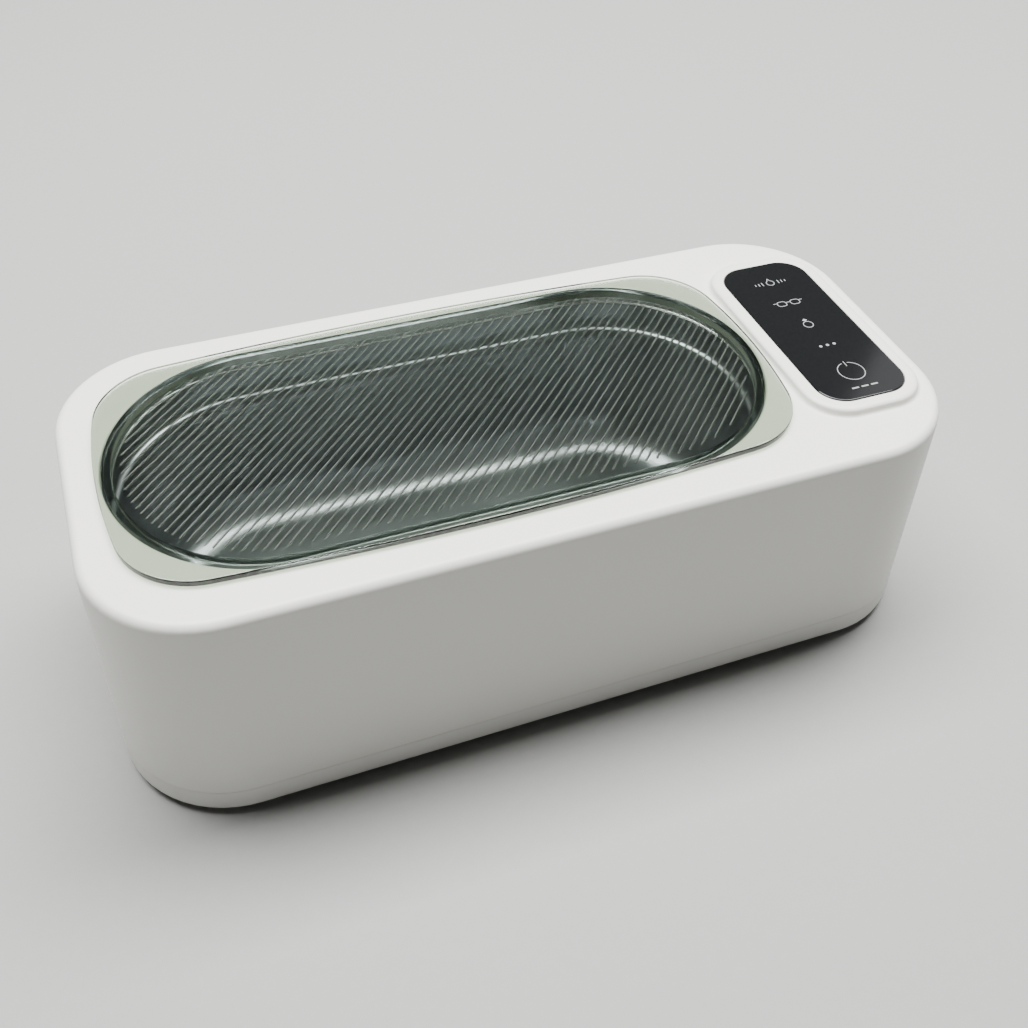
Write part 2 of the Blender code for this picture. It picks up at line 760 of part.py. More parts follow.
def make_transducer(ceramic, epoxy, red, black):
    bond_top = TANK_UNDER_Z - FIT_GAP
    disc_top = bond_top - BOND_THICKNESS - FIT_GAP
    bond = cylinders([(0, 0)], TRANSDUCER_RADIUS + BOND_SQUEEZE, -BOND_THICKNESS, 0, 32)
    piece("transducer_bond", bond, epoxy, (LID_CENTRE_X, 0, bond_top))
    disc = cylinders([(0, 0)], TRANSDUCER_RADIUS, -TRANSDUCER_THICKNESS, 0, 32)
    piece("transducer_disc", disc, ceramic, (LID_CENTRE_X, 0, disc_top))
    start_z = disc_top - TRANSDUCER_THICKNESS - FIT_GAP - WIRE_RADIUS
    run_z = FLOOR_Z + WIRE_HEIGHT
    tank_end = LID_CENTRE_X + OPENING_LENGTH / 2
    x, y, top = connector_top("transducer_connector")
    for colour, side, material in (("red", 1, red), ("black", -1, black)):
        lane = y + side * 2 * WIRE_RADIUS
        points = [
            (LID_CENTRE_X + 9, side * 4 - 1, start_z),
            (LID_CENTRE_X + 14, side * 3 - 2, run_z + 0.4),
            (LID_CENTRE_X + 26, lane, run_z),
            (LID_CENTRE_X + 50, lane, run_z),
            (tank_end - 8, lane, run_z + 0.2),
            (tank_end, lane, run_z + 2.0),
            (tank_end + 2.5, lane, BOARD_TOP_Z + 4),
            (x - 3.0, lane, top + 3.4),
            (x, lane, top + 3.4),
            (x, lane, top + FIT_GAP),
        ]
        lead(f"transducer_lead_{colour}", smooth_route(points, 4), WIRE_RADIUS, material)


# ---------------------------------------------------------------- control panel


def make_panel_lens(material):
    rings = []
    levels = [(0, 0)]
    levels += [(inset, LENS_THICKNESS - drop) for inset, drop in edge_round(LENS_EDGE_ROUND, 2)]
    for inset, z in levels:
        outline = rounded_rectangle(
            LENS_WIDTH - 2 * inset, LENS_LENGTH - 2 * inset, LENS_CORNER - inset, 6
        )
        rings.append(at_height(outline, z))
    piece("panel_lens", loft(rings), material, (PANEL_X, 0, LENS_Z))


def make_light_mask(material):
    bottom = TOUCH_BOARD_TOP_Z + FIT_GAP
    top = LENS_Z - FIT_GAP
    low = bottom - OVERCUT
    high = top + OVERCUT
    mask = piece("light_mask", lens_prism(-LENS_LEDGE - FIT_GAP, bottom, top), material)
    light_wells = cylinders(mode_places(), LIGHT_WELL_RADIUS, low, high, 12)
    spring_well = cylinders([power_key_place()], SPRING_WELL_RADIUS, low, high, 16)
    boolean(mask, "DIFFERENCE", "light_wells", light_wells)
    boolean(mask, "DIFFERENCE", "spring_well", spring_well)


def make_touch_board(green, steel, black, white):
    """A board with an ear at each end for its screws."""
    screw_x, screw_y = touch_screw_places()[1]
    left = PANEL_X - LENS_WIDTH / 2 - TOUCH_BOARD_MARGIN
    right = PANEL_X + LENS_WIDTH / 2 + TOUCH_BOARD_MARGIN
    ear_right = screw_x + TOUCH_BOARD_EAR
    ear_end = screw_y + TOUCH_BOARD_EAR
    end = LENS_LENGTH / 2 - ROOT
    outline = [
        (left, -ear_end),
        (ear_right, -ear_end),
        (ear_right, -end),
        (right, -end),
        (right, end),
        (ear_right, end),
        (ear_right, ear_end),
        (left, ear_end),
    ]
    top = TOUCH_BOARD_TOP_Z
    board = piece("touch_board", prism(outline, TOUCH_BOARD_Z, top), green)
    hole = SMALL_SCREW[2] + FIT_GAP
    low = TOUCH_BOARD_Z - OVERCUT
    holes = cylinders(touch_screw_places(), hole, low, top + OVERCUT, 10)
    boolean(board, "DIFFERENCE", "touch_board_holes", holes)
    seat = TOUCH_BOARD_Z - FIT_GAP
    places = touch_screw_places()
    make_screws("touch_board_screw", places, seat, SMALL_SCREW, TOUCH_SCREW_SHANK, steel)

    for number, (x, y) in enumerate(mode_places(), 1):
        piece(f"mode_led_{number}", block(LED), white, (x, y, top + FIT_GAP))
    x, y = power_key_place()
    piece("power_led", block(LED), white, (x, y, top + FIT_GAP))
    chip_z = seat - TOUCH_CHIP[2]
    piece("touch_chip", block(TOUCH_CHIP, 0.2), black, (PANEL_X, TOUCH_CHIP_Y, chip_z))


def make_touch_spring(material):
    """The coil that carries the power key's touch from the lens to the board."""
    x, y = power_key_place()
    bottom = TOUCH_BOARD_TOP_Z + FIT_GAP + SPRING_WIRE
    top = LENS_Z - FIT_GAP - SPRING_WIRE
    steps = 12 * SPRING_TURNS
    points = []
    for step in range(steps + 1):
        angle = math.tau * step / 12
        z = bottom + (top - bottom) * step / steps
        points.append((x + SPRING_RADIUS * math.cos(angle), y + SPRING_RADIUS * math.sin(angle), z))
    lead("touch_spring", points, SPRING_WIRE, material, 0)


# ---------------------------------------------------------------- main board


def on_board(place):
    x, y = place
    return (BOARD_X + x, y, BOARD_TOP_Z + FIT_GAP)


def connector_top(name):
    x, y, bottom = on_board(CONNECTORS[name][0])
    return (x, y, bottom + CONNECTOR_HEIGHT)


def make_main_board(green, steel, white):
    board = block((BOARD_LENGTH, BOARD_WIDTH, BOARD_THICKNESS))
    board = piece("main_board", board, green, (BOARD_X, 0, BOARD_Z))
    places = board_screw_places()
    hole = SMALL_SCREW[2] + FIT_GAP
    holes = cylinders(places, hole, BOARD_Z - OVERCUT, BOARD_TOP_Z + OVERCUT, 10)
    boolean(board, "DIFFERENCE", "main_board_holes", holes)
    seat = BOARD_TOP_Z + FIT_GAP
    upside_down = (180, 0, 0)
    make_screws(
        "main_board_screw", places, seat, SMALL_SCREW, BOARD_SCREW_SHANK, steel, upside_down
    )
    for name, (place, size) in CONNECTORS.items():
        piece(name, block((*size, CONNECTOR_HEIGHT), 0.3), white, on_board(place))


def make_transformer(ferrite, tape):
    """A double-window ferrite core, with the winding round its middle leg."""
    depth, width, height = CORE
    x, y, bottom = on_board(CORE_PLACE)
    core = piece("transformer_core", block(CORE, 0.3), ferrite, (x, y, bottom))
    window = (width - 3 * CORE_LEG) / 2
    windows = bmesh.new()
    for side in (-1, 1):
        middle = (x, y + side * (CORE_LEG + window) / 2, bottom + height / 2)
        size = (2 * depth, window, height - 2 * CORE_LEG)
        place = Matrix.Translation(Vector(middle) * MM)
        stretch = Matrix.Diagonal((*(Vector(size) * MM), 1))
        bmesh.ops.create_cube(windows, size=1, matrix=place @ stretch)
    boolean(core, "DIFFERENCE", "core_windows", windows)
    thick = window - 2 * FIT_GAP
    inner = rounded_rectangle(depth + 2 * FIT_GAP, CORE_LEG + 2 * FIT_GAP, 0.5, 2)
    outer = rounded_rectangle(depth + 2 * thick, CORE_LEG + 2 * thick, WINDING_CORNER, 2)
    low = CORE_LEG + FIT_GAP
    high = height - CORE_LEG - FIT_GAP
    rings = [
        at_height(inner, low),
        at_height(inner, high),
        at_height(outer, high),
        at_height(outer, low),
    ]
    piece("transformer_winding", loft(rings, closed=True), tape, (x, y, bottom))


def make_choke(material):
    """A wound ring standing on edge."""
    rings = []
    for step in range(16):
        around = math.tau * step / 16
        outline = []
        for side in range(8):
            angle = math.tau * side / 8
            reach = CHOKE_RADIUS + CHOKE_THICKNESS * math.cos(angle)
            x = CHOKE_THICKNESS * math.sin(angle)
            z = CHOKE_RADIUS + CHOKE_THICKNESS + reach * math.sin(around)
            outline.append((x, reach * math.cos(around), z))
        rings.append(outline)
    piece("choke", loft(rings, closed=True), material, on_board(CHOKE_PLACE))


def make_heatsink(aluminium, black):
    """A comb of fins, with the power transistor on its flat back."""
    half = HEATSINK_LENGTH / 2
    pitch = (HEATSINK_LENGTH - FIN_THICKNESS) / (FINS - 1)
    outline = [(-half, -HEATSINK_BACK), (half, -HEATSINK_BACK)]
    for number in reversed(range(FINS)):
        left = number * pitch - half
        right = left + FIN_THICKNESS
        outline += [(right, 0), (right, FIN_DEPTH), (left, FIN_DEPTH), (left, 0)]
    # The end fins are flush with the ends of the back, so two of the points aren't corners.
    outline = outline[:2] + outline[3:-1]
    heatsink = prism(outline, 0, HEATSINK_HEIGHT)
    piece("heatsink", heatsink, aluminium, on_board(HEATSINK_PLACE))
    x, y = HEATSINK_PLACE
    y -= HEATSINK_BACK + FIT_GAP + TRANSISTOR[1] / 2
    piece("power_transistor", block(TRANSISTOR, 0.4), black, on_board((x, y)))


def can(radius, height, edge):
    """An upright round component with a worn top edge."""
    profile = [(0, 0), (radius, 0), (radius, height - edge), (radius - edge, height), (0, height)]
    return turned(profile, 16)


def make_board_parts(black, blue, brown):
    for number, place in enumerate(CAPACITOR_PLACES, 1):
        body = can(CAPACITOR_RADIUS, CAPACITOR_HEIGHT, 0.4)
        piece(f"capacitor_{number}", body, blue, on_board(place))
    piece("fuse", can(FUSE_RADIUS, FUSE_HEIGHT, 0.4), brown, on_board(FUSE_PLACE))
    piece("control_chip", block(CONTROL_CHIP, 0.2), black, on_board(CONTROL_CHIP_PLACE))


def make_ribbon(material):
    """The flat cable from the touch board's plug down to the main board's panel connector."""
    x, y, bottom = connector_top("panel_connector")
    bottom += FIT_GAP
    rise = TOUCH_BOARD_Z - FIT_GAP - bottom
    bends = [(0, 0), (0, 0.2), (-2.5, 0.42), (-2.0, 0.62), (0.5, 0.85), (0.5, 1.0)]
    route = smooth_route([(shift, bottom + share * rise, 0) for shift, share in bends], 3)
    half = RIBBON_THICKNESS / 2
    front = [(point.x - half, point.y) for point in route]
    back = [(point.x + half, point.y) for point in reversed(route)]
    rings = []
    for side in (x - RIBBON_WIDTH / 2, x + RIBBON_WIDTH / 2):
        rings.append([(side, y + shift, z) for shift, z in front + back])
    piece("panel_ribbon_cable", loft(rings), material)


# ---------------------------------------------------------------- adapter socket


def turned_along_y(profile, y, steps=20):
    """A turned solid laid along +Y at the socket, from (radius, y) points."""
    bm = turned(profile, steps)
    bmesh.ops.rotate(bm, verts=bm.verts, matrix=Matrix.Rotation(math.radians(-90), 3, "X"))
    bmesh.ops.translate(bm, verts=bm.verts, vec=Vector((JACK_X, y, JACK_Z)) * MM)
    return bm


def make_dc_jack(black, red_wire, black_wire):
    width, depth, height = JACK_BODY
    face = JACK_WALL_Y - JACK_RECESS
    body_face = JACK_WALL_Y - WALL - 3 * FIT_GAP
    body = block(JACK_BODY, 0.4)
    middle = Vector((JACK_X, body_face - depth / 2, JACK_Z - height / 2))
    bmesh.ops.translate(body, verts=body.verts, vec=middle * MM)
    jack = piece("dc_jack", body, black)
    reach = face - body_face
    collar = [
        (0, -OVERCUT),
        (JACK_COLLAR_RADIUS, -OVERCUT),
        (JACK_COLLAR_RADIUS, reach),
        (0, reach),
    ]
    boolean(jack, "UNION", "jack_collar", turned_along_y(collar, body_face))
    pin_end = -OVERCUT
    bore = [
        (JACK_PIN_RADIUS, -JACK_BORE_DEPTH),
        (JACK_BORE_RADIUS, -JACK_BORE_DEPTH),
        (JACK_BORE_RADIUS, OVERCUT),
        (0, OVERCUT),
        (0, pin_end),
        (JACK_PIN_RADIUS, pin_end),
        (JACK_PIN_RADIUS, -JACK_BORE_DEPTH),
    ]
    boolean(jack, "DIFFERENCE", "jack_bore", turned_along_y(bore, face))

    x, y, top = connector_top("power_connector")
    back = body_face - depth - 2 * FIT_GAP
    for colour, side, material in (("red", 1, red_wire), ("black", -1, black_wire)):
        lane = x + side * 2.2 * WIRE_RADIUS
        points = [
            (JACK_X + side * 1.4, back, JACK_Z + 2),
            (JACK_X + side * 1.3, back - 2.2, JACK_Z + 3.2),
            (lane, y + 4.5, top + 2.6),
            (lane, y + 1.0, top + 3.0),
            (lane, y, top + FIT_GAP),
        ]
        lead(f"jack_lead_{colour}", smooth_route(points, 4), WIRE_RADIUS, material)


# ---------------------------------------------------------------- assembly


def clear_scene():
    for obj in list(bpy.data.objects):
        bpy.data.objects.remove(obj, do_unlink=True)


def lid_axis():
    """The empty that the lid hangs from, on the line it lifts along."""
    axis = bpy.data.objects.new("lid_lift_axis", None)
    bpy.context.scene.collection.objects.link(axis)
    axis.location = Vector((LID_CENTRE_X, 0, DECK_Z)) * MM
    return axis


def make_cleaner():
    white_abs = surface("housing_abs", (0.78, 0.78, 0.74), 0.42)
    base_abs = surface("base_abs", (0.74, 0.74, 0.70), 0.45)
    tint = surface("tinted_clear_plastic", (0.30, 0.38, 0.35), 0.12, 0.0, 0.45)
    steel = surface("stainless_steel", (0.55, 0.56, 0.57), 0.25, 1.0)
    screw_steel = surface("zinc_plated_steel", (0.60, 0.60, 0.58), 0.35, 1.0)
    silicone = surface("grey_silicone", (0.35, 0.36, 0.36), 0.7)
    rubber = surface("grey_rubber", (0.12, 0.12, 0.12), 0.85)
    acrylic = surface("black_acrylic", (0.01, 0.01, 0.012), 0.08)
    mask_black = surface("mask_black_abs", (0.02, 0.02, 0.02), 0.6)
    board_green = surface("green_fr4", (0.02, 0.14, 0.05), 0.5)
    chip_black = surface("chip_epoxy", (0.02, 0.02, 0.022), 0.5)
    nylon_white = surface("white_nylon", (0.72, 0.70, 0.62), 0.5)
    nylon_black = surface("black_nylon", (0.02, 0.02, 0.02), 0.45)
    led_white = surface("led_resin", (0.85, 0.83, 0.60), 0.3)
    ceramic = surface("silvered_ceramic", (0.70, 0.70, 0.68), 0.4, 0.6)
    epoxy = surface("clear_epoxy", (0.55, 0.50, 0.36), 0.3)
    ferrite = surface("ferrite", (0.05, 0.05, 0.055), 0.7)
    copper = surface("enamelled_copper", (0.50, 0.18, 0.06), 0.35, 0.8)
    tape = surface("yellow_tape", (0.75, 0.55, 0.08), 0.5)
    aluminium = surface("raw_aluminium", (0.62, 0.62, 0.63), 0.4, 1.0)
    sleeve_blue = surface("capacitor_sleeve", (0.03, 0.06, 0.20), 0.4)
    fuse_brown = surface("fuse_body", (0.16, 0.06, 0.03), 0.5)
    wire_red = surface("red_pvc", (0.50, 0.02, 0.02), 0.45)
    wire_black = surface("black_pvc", (0.02, 0.02, 0.02), 0.45)
    ribbon_grey = surface("ribbon_pvc", (0.45, 0.45, 0.47), 0.5)

    make_upper_housing(white_abs)
    make_gasket(silicone)
    make_tank(steel)
    tank_seat = FLANGE_Z - TANK_SHEET - FIT_GAP
    make_screws("tank_screw", ear_places(), tank_seat, SMALL_SCREW, TANK_SCREW_SHANK, screw_steel)
    make_transducer(ceramic, epoxy, wire_red, wire_black)
    make_panel_lens(acrylic)
    make_light_mask(mask_black)
    make_touch_board(board_green, screw_steel, chip_black, led_white)
    make_touch_spring(screw_steel)
    make_main_board(board_green, screw_steel, nylon_white)
    make_transformer(ferrite, tape)
    make_choke(copper)
    make_heatsink(aluminium, chip_black)
    make_board_parts(chip_black, sleeve_blue, fuse_brown)
    make_ribbon(ribbon_grey)
    make_dc_jack(nylon_black, wire_red, wire_black)
    make_base_cover(base_abs)
    base_seat = SCREW_SEAT_Z - FIT_GAP
    make_screws("base_screw", post_places(), base_seat, BIG_SCREW, BASE_SCREW_SHANK, screw_steel)
    make_feet(rubber)
    make_lid(tint, lid_axis())


clear_scene()
make_cleaner()
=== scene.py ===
import math

import bmesh
import bpy
from mathutils import Matrix, Vector


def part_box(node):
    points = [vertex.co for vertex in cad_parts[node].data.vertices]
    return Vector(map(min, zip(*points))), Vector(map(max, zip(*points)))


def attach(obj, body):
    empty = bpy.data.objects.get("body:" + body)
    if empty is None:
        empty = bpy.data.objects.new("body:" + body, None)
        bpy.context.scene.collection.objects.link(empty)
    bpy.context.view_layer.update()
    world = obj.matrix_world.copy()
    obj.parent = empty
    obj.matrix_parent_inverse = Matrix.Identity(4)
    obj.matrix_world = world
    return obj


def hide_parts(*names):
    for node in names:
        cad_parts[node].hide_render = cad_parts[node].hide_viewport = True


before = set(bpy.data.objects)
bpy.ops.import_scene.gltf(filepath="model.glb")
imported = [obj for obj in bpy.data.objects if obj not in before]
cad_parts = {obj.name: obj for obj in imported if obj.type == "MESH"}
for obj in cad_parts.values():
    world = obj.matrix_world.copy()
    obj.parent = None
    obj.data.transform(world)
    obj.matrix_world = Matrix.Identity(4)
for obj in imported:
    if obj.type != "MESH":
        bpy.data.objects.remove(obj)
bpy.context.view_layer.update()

# ---------------------------------------------------------------- studio
# A pale matt bench top under a wide softbox, with a weaker one at the right that the lid's ribs
# catch. Nothing stands behind the object, so the polished lid and tank look dark.


def linear(hex_colour, alpha=1.0):
    """An sRGB hex colour as the linear values that a shader takes."""
    channels = [int(hex_colour[start : start + 2], 16) / 255 for start in (0, 2, 4)]
    bent = [c / 12.92 if c <= 0.04045 else ((c + 0.055) / 1.055) ** 2.4 for c in channels]
    return (*bent, alpha)


def add_node(tree, kind, inputs=None, **settings):
    """Adds one node, with its settings, and sets or links its inputs."""
    made = tree.nodes.new(kind)
    for name, value in settings.items():
        setattr(made, name, value)
    for name, value in (inputs or {}).items():
        if isinstance(value, bpy.types.NodeSocket):
            tree.links.new(value, made.inputs[name])
        else:
            made.inputs[name].default_value = value
    return made


def new_material(name, **shader_values):
    """One Principled material. Returns it with its tree, shader and position socket."""
    material = bpy.data.materials.new(name)
    material.use_nodes = True
    tree = material.node_tree
    tree.nodes.clear()
    shader = add_node(tree, "ShaderNodeBsdfPrincipled", shader_values)
    add_node(tree, "ShaderNodeOutputMaterial", {"Surface": shader.outputs[0]})
    position = add_node(tree, "ShaderNodeTexCoord").outputs["Object"]
    return material, tree, shader, position


def make_bench():
    """Painted board, rolled with a faint stipple."""
    material, tree, shader, position = new_material("bench_paint", Roughness=0.7)
    stipple = add_node(tree, "ShaderNodeTexNoise", {"Vector": position, "Scale": 400.0})
    tone = add_node(
        tree,
        "ShaderNodeMix",
        {0: stipple.outputs[0], 6: linear("9E9E9C"), 7: linear("A2A2A0")},
        data_type="RGBA",
    )
    tree.links.new(tone.outputs[2], shader.inputs["Base Color"])
    bm = bmesh.new()
    bmesh.ops.create_grid(bm, x_segments=1, y_segments=1, size=4.0)
    mesh = bpy.data.meshes.new("bench")
    bm.to_mesh(mesh)
    bm.free()
    mesh.materials.append(material)
    bench = bpy.data.objects.new("bench", mesh)
    bpy.context.scene.collection.objects.link(bench)


def make_light(name, place, target, size, watts):
    lamp = bpy.data.lights.new(name, "AREA")
    lamp.shape = "RECTANGLE"
    lamp.size, lamp.size_y = size
    lamp.energy = watts
    obj = bpy.data.objects.new(name, lamp)
    bpy.context.scene.collection.objects.link(obj)
    obj.location = place
    obj.rotation_euler = (Vector(target) - Vector(place)).to_track_quat("-Z", "Y").to_euler()


def make_room(strength):
    world = bpy.data.worlds.new("room")
    world.use_nodes = True
    background = world.node_tree.nodes["Background"]
    background.inputs["Color"].default_value = linear("F4F6F5")
    background.inputs["Strength"].default_value = strength
    bpy.context.scene.world = world


def make_camera():
    """A 42 mm lens from above the front left corner, shifted a little to centre the object."""
    place = Vector((-0.07889, -0.20469, 0.24107))
    right = Vector((0.93507, -0.35342, 0.02711))
    forward = Vector((0.27895, 0.68655, -0.67144))
    up = right.cross(forward)
    turn = Matrix((right, up, -forward)).transposed()
    camera = bpy.data.cameras.new("camera")
    camera.lens = 42.44
    camera.shift_x = -0.0091
    camera.shift_y = -0.0495
    camera.clip_start = 0.01
    obj = bpy.data.objects.new("camera", camera)
    obj.matrix_world = Matrix.Translation(place) @ turn.to_4x4()
    bpy.context.scene.collection.objects.link(obj)
    bpy.context.scene.camera = obj


make_bench()
make_light("softbox", (0.1, 0.24, 1.0), (0.1, 0.24, 0.0), (1.3, 0.5), 50.0)
make_light("right_panel", (1.3, 0.6, 0.85), (0, 0, 0.05), (1.0, 1.0), 3.0)
make_room(0.06)
make_camera()

# ---------------------------------------------------------------- upper housing
# The white upper shell: one ABS moulding with satin sides, a flat deck with the tank's opening,
# and a raised frame for the panel. Screw posts and bosses hang under its deck.

WALL = 2.2
DRAFT = 0.015
DECK_THICKNESS = 2.5
DECK_EDGE_ROUND = 2.1
DECK_CORNER = 25.7
BOSS_HEIGHT = 2.0
BOSS_MARGIN = 3.3
BOSS_EDGE_ROUND = 1.5
BOSS_EDGE_RISE = 0.8
BOSS_FOOT_ROUND = 1.1
LENS_CORNER = 6.8
LENS_GAP = 0.15
LENS_LEDGE = 2.0
LENS_FRAME_EDGE = 0.2
MOUTH_ROUND = 0.5
SEAM = 0.3
SEAM_GAP = 0.08
POST_ABOVE_SCREW = 5.6
SOCKET_HOLE = 4.65
SOCKET_HOLE_DEPTH = 8


def box_mm(node):
    """A CAD node's lowest and highest corner, in millimetres."""
    low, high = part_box(node)
    return low * 1000, high * 1000


def middle_of(node):
    low, high = box_mm(node)
    return (low + high) / 2


housing_low, housing_high = box_mm("upper_housing")
RIM_Z = housing_low.z
BOSS_Z = housing_high.z
DECK_Z = BOSS_Z - BOSS_HEIGHT
DECK_UNDER_Z = DECK_Z - DECK_THICKNESS
gasket_low, gasket_high = box_mm("tank_gasket")
lens_low, lens_high = box_mm("panel_lens")
skirt_low, lid_high = box_mm("lid")
MOUTH_CENTRE = ((gasket_low.x + gasket_high.x) / 2, 0)
GASKET_REACH = 2.4
MOUTH_LENGTH = gasket_high.x - gasket_low.x - 2 * GASKET_REACH
MOUTH_WIDTH = gasket_high.y - gasket_low.y - 2 * GASKET_REACH


def flat(bm, length, width, corner, z, centre=(0, 0), segments=14):
    """A flat face with round corners. pull() then draws walls out of it."""
    before = set(bm.faces)
    others = set(bm.verts)
    corners = []
    for side_x, side_y in ((-1, -1), (1, -1), (1, 1), (-1, 1)):
        x = centre[0] + side_x * length / 2
        corners.append(bm.verts.new((x, centre[1] + side_y * width / 2, z)))
    bm.faces.new(corners)
    bmesh.ops.bevel(
        bm,
        geom=corners,
        offset=corner,
        segments=segments,
        affect="VERTICES",
        profile=0.5,
        material=-1,
    )
    made = [vert for vert in bm.verts if vert not in others]
    bmesh.ops.remove_doubles(bm, verts=made, dist=0.02)
    return next(face for face in bm.faces if face not in before)


def round_flat(bm, radius, z, centre=(0, 0), segments=32):
    circle = bmesh.ops.create_circle(
        bm,
        cap_ends=True,
        radius=radius,
        segments=segments,
        matrix=Matrix.Translation((*centre, z)),
    )
    return circle["verts"][0].link_faces[0]


def pull(bm, face, steps):
    """Draws a face through (inset, rise) steps, each of which leaves a strip of wall behind it."""
    for inset, rise in steps:
        bmesh.ops.inset_individual(
            bm, faces=[face], thickness=inset, depth=rise, use_even_offset=True
        )
    return face


def side_to_top(radius, steps=6):
    """(inset, rise) steps of a quarter round that starts up a side and ends on a flat top."""
    pairs = []
    for step in range(steps):
        start = math.pi / 2 * step / steps
        end = math.pi / 2 * (step + 1) / steps
        inset = radius * (math.cos(start) - math.cos(end))
        pairs.append((inset, radius * (math.sin(end) - math.sin(start))))
    return pairs


def top_to_hole(radius, steps=6):
    """The quarter round from a flat top down into a hole."""
    return [(rise, -inset) for inset, rise in side_to_top(radius, steps)]


def top_to_wall(radius, steps=6):
    """The hollow quarter round from a flat up into a wall."""
    return [(rise, inset) for inset, rise in side_to_top(radius, steps)]


def open_face(bm, face):
    """Removes a face and returns the edges of the hole that it leaves."""
    edges = list(face.edges)
    bmesh.ops.delete(bm, geom=[face], context="FACES_ONLY")
    return edges


def walls(bm, face, steps, capped=False):
    """Pulls a face and returns the edges it started from, then those of the hole it ends in."""
    others = {edge for edge in bm.edges if edge.is_boundary} - set(face.edges)
    pull(bm, face, steps)
    start = [edge for edge in bm.edges if edge.is_boundary and edge not in others]
    return start, [] if capped else open_face(bm, face)


def piece_from(bm, name, material, body, nodes=(), sharp=35):
    """An object from a bmesh in millimetres. It rides on a body and may replace CAD nodes."""
    bmesh.ops.remove_doubles(bm, verts=bm.verts, dist=1e-4)
    bmesh.ops.recalc_face_normals(bm, faces=bm.faces)
    bmesh.ops.scale(bm, verts=bm.verts, vec=(0.001, 0.001, 0.001))
    mesh = bpy.data.meshes.new(name)
    bm.to_mesh(mesh)
    bm.free()
    mesh.materials.append(material)
    mesh.shade_smooth()
    mesh.set_sharp_from_angle(angle=math.radians(sharp))
    obj = bpy.data.objects.new(name, mesh)
    bpy.context.scene.collection.objects.link(obj)
    evened = obj.modifiers.new("even_shading", "WEIGHTED_NORMAL")
    evened.keep_sharp = True
    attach(obj, body)
    if nodes:
        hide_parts(*nodes)
    return obj


def combine(bm, other, operation):
    """Unites two bmeshes, or cuts the second from the first, and returns the result."""
    pair = []
    for source in (bm, other):
        bmesh.ops.recalc_face_normals(source, faces=source.faces)
        mesh = bpy.data.meshes.new("working")
        source.to_mesh(mesh)
        source.free()
        obj = bpy.data.objects.new("working", mesh)
        bpy.context.scene.collection.objects.link(obj)
        pair.append(obj)
    modifier = pair[0].modifiers.new("combine", "BOOLEAN")
    modifier.operation = operation
    modifier.object = pair[1]
    modifier.solver = "EXACT"
    graph = bpy.context.evaluated_depsgraph_get()
    result = bmesh.new()
    result.from_object(pair[0], graph)
    for obj in pair:
        bpy.data.objects.remove(obj)
    return result


def obround(bm, length, width, z, centre=(0, 0), segments=24):
    """A flat face with half-round ends."""
    return flat(bm, length, width, width / 2 * 0.9999, z, centre, segments)


def make_moulded(name, tones, roughness, grain=0.9, depth=0.004):
    """Moulded plastic: two close tones in wide clouds, and the bloom of an etched mould.

    The etching is about 0.1 mm across. It is drawn at the grain's size so that it shows.
    """
    material, tree, shader, position = new_material(name, IOR=1.54)
    clouds = add_node(tree, "ShaderNodeTexNoise", {"Vector": position, "Scale": 1000 / 35})
    etching = add_node(
        tree, "ShaderNodeTexNoise", {"Vector": position, "Scale": 1000 / grain, "Detail": 3.0}
    )
    tone = add_node(
        tree,
        "ShaderNodeMix",
        {0: clouds.outputs[0], 6: linear(tones[0]), 7: linear(tones[1])},
        data_type="RGBA",
    )
    sheen = add_node(
        tree,
        "ShaderNodeMapRange",
        {0: etching.outputs[0], 3: roughness - 0.04, 4: roughness + 0.04},
    )
    bump = add_node(
        tree, "ShaderNodeBump", {"Height": etching.outputs[0], "Distance": depth / 1000}
    )
    tree.links.new(tone.outputs[2], shader.inputs["Base Color"])
    tree.links.new(sheen.outputs[0], shader.inputs["Roughness"])
    tree.links.new(bump.outputs[0], shader.inputs["Normal"])
    return material


def make_screw_seats(bm, places, radius, pilot, bottom, depth):
    """Bosses under the deck, each with a blind hole. Returns the edges they start from."""
    edges = []
    for centre in places:
        face = round_flat(bm, radius, DECK_UNDER_Z, centre, 24)
        steps = [(0, bottom - DECK_UNDER_Z), (radius - pilot, 0), (0, depth)]
        edges += walls(bm, face, steps, capped=True)[0]
    return edges


def centres_of(name, count):
    """(x, y) of a set of numbered CAD nodes."""
    return [tuple(middle_of(f"{name}_{number}").xy) for number in range(1, count + 1)]


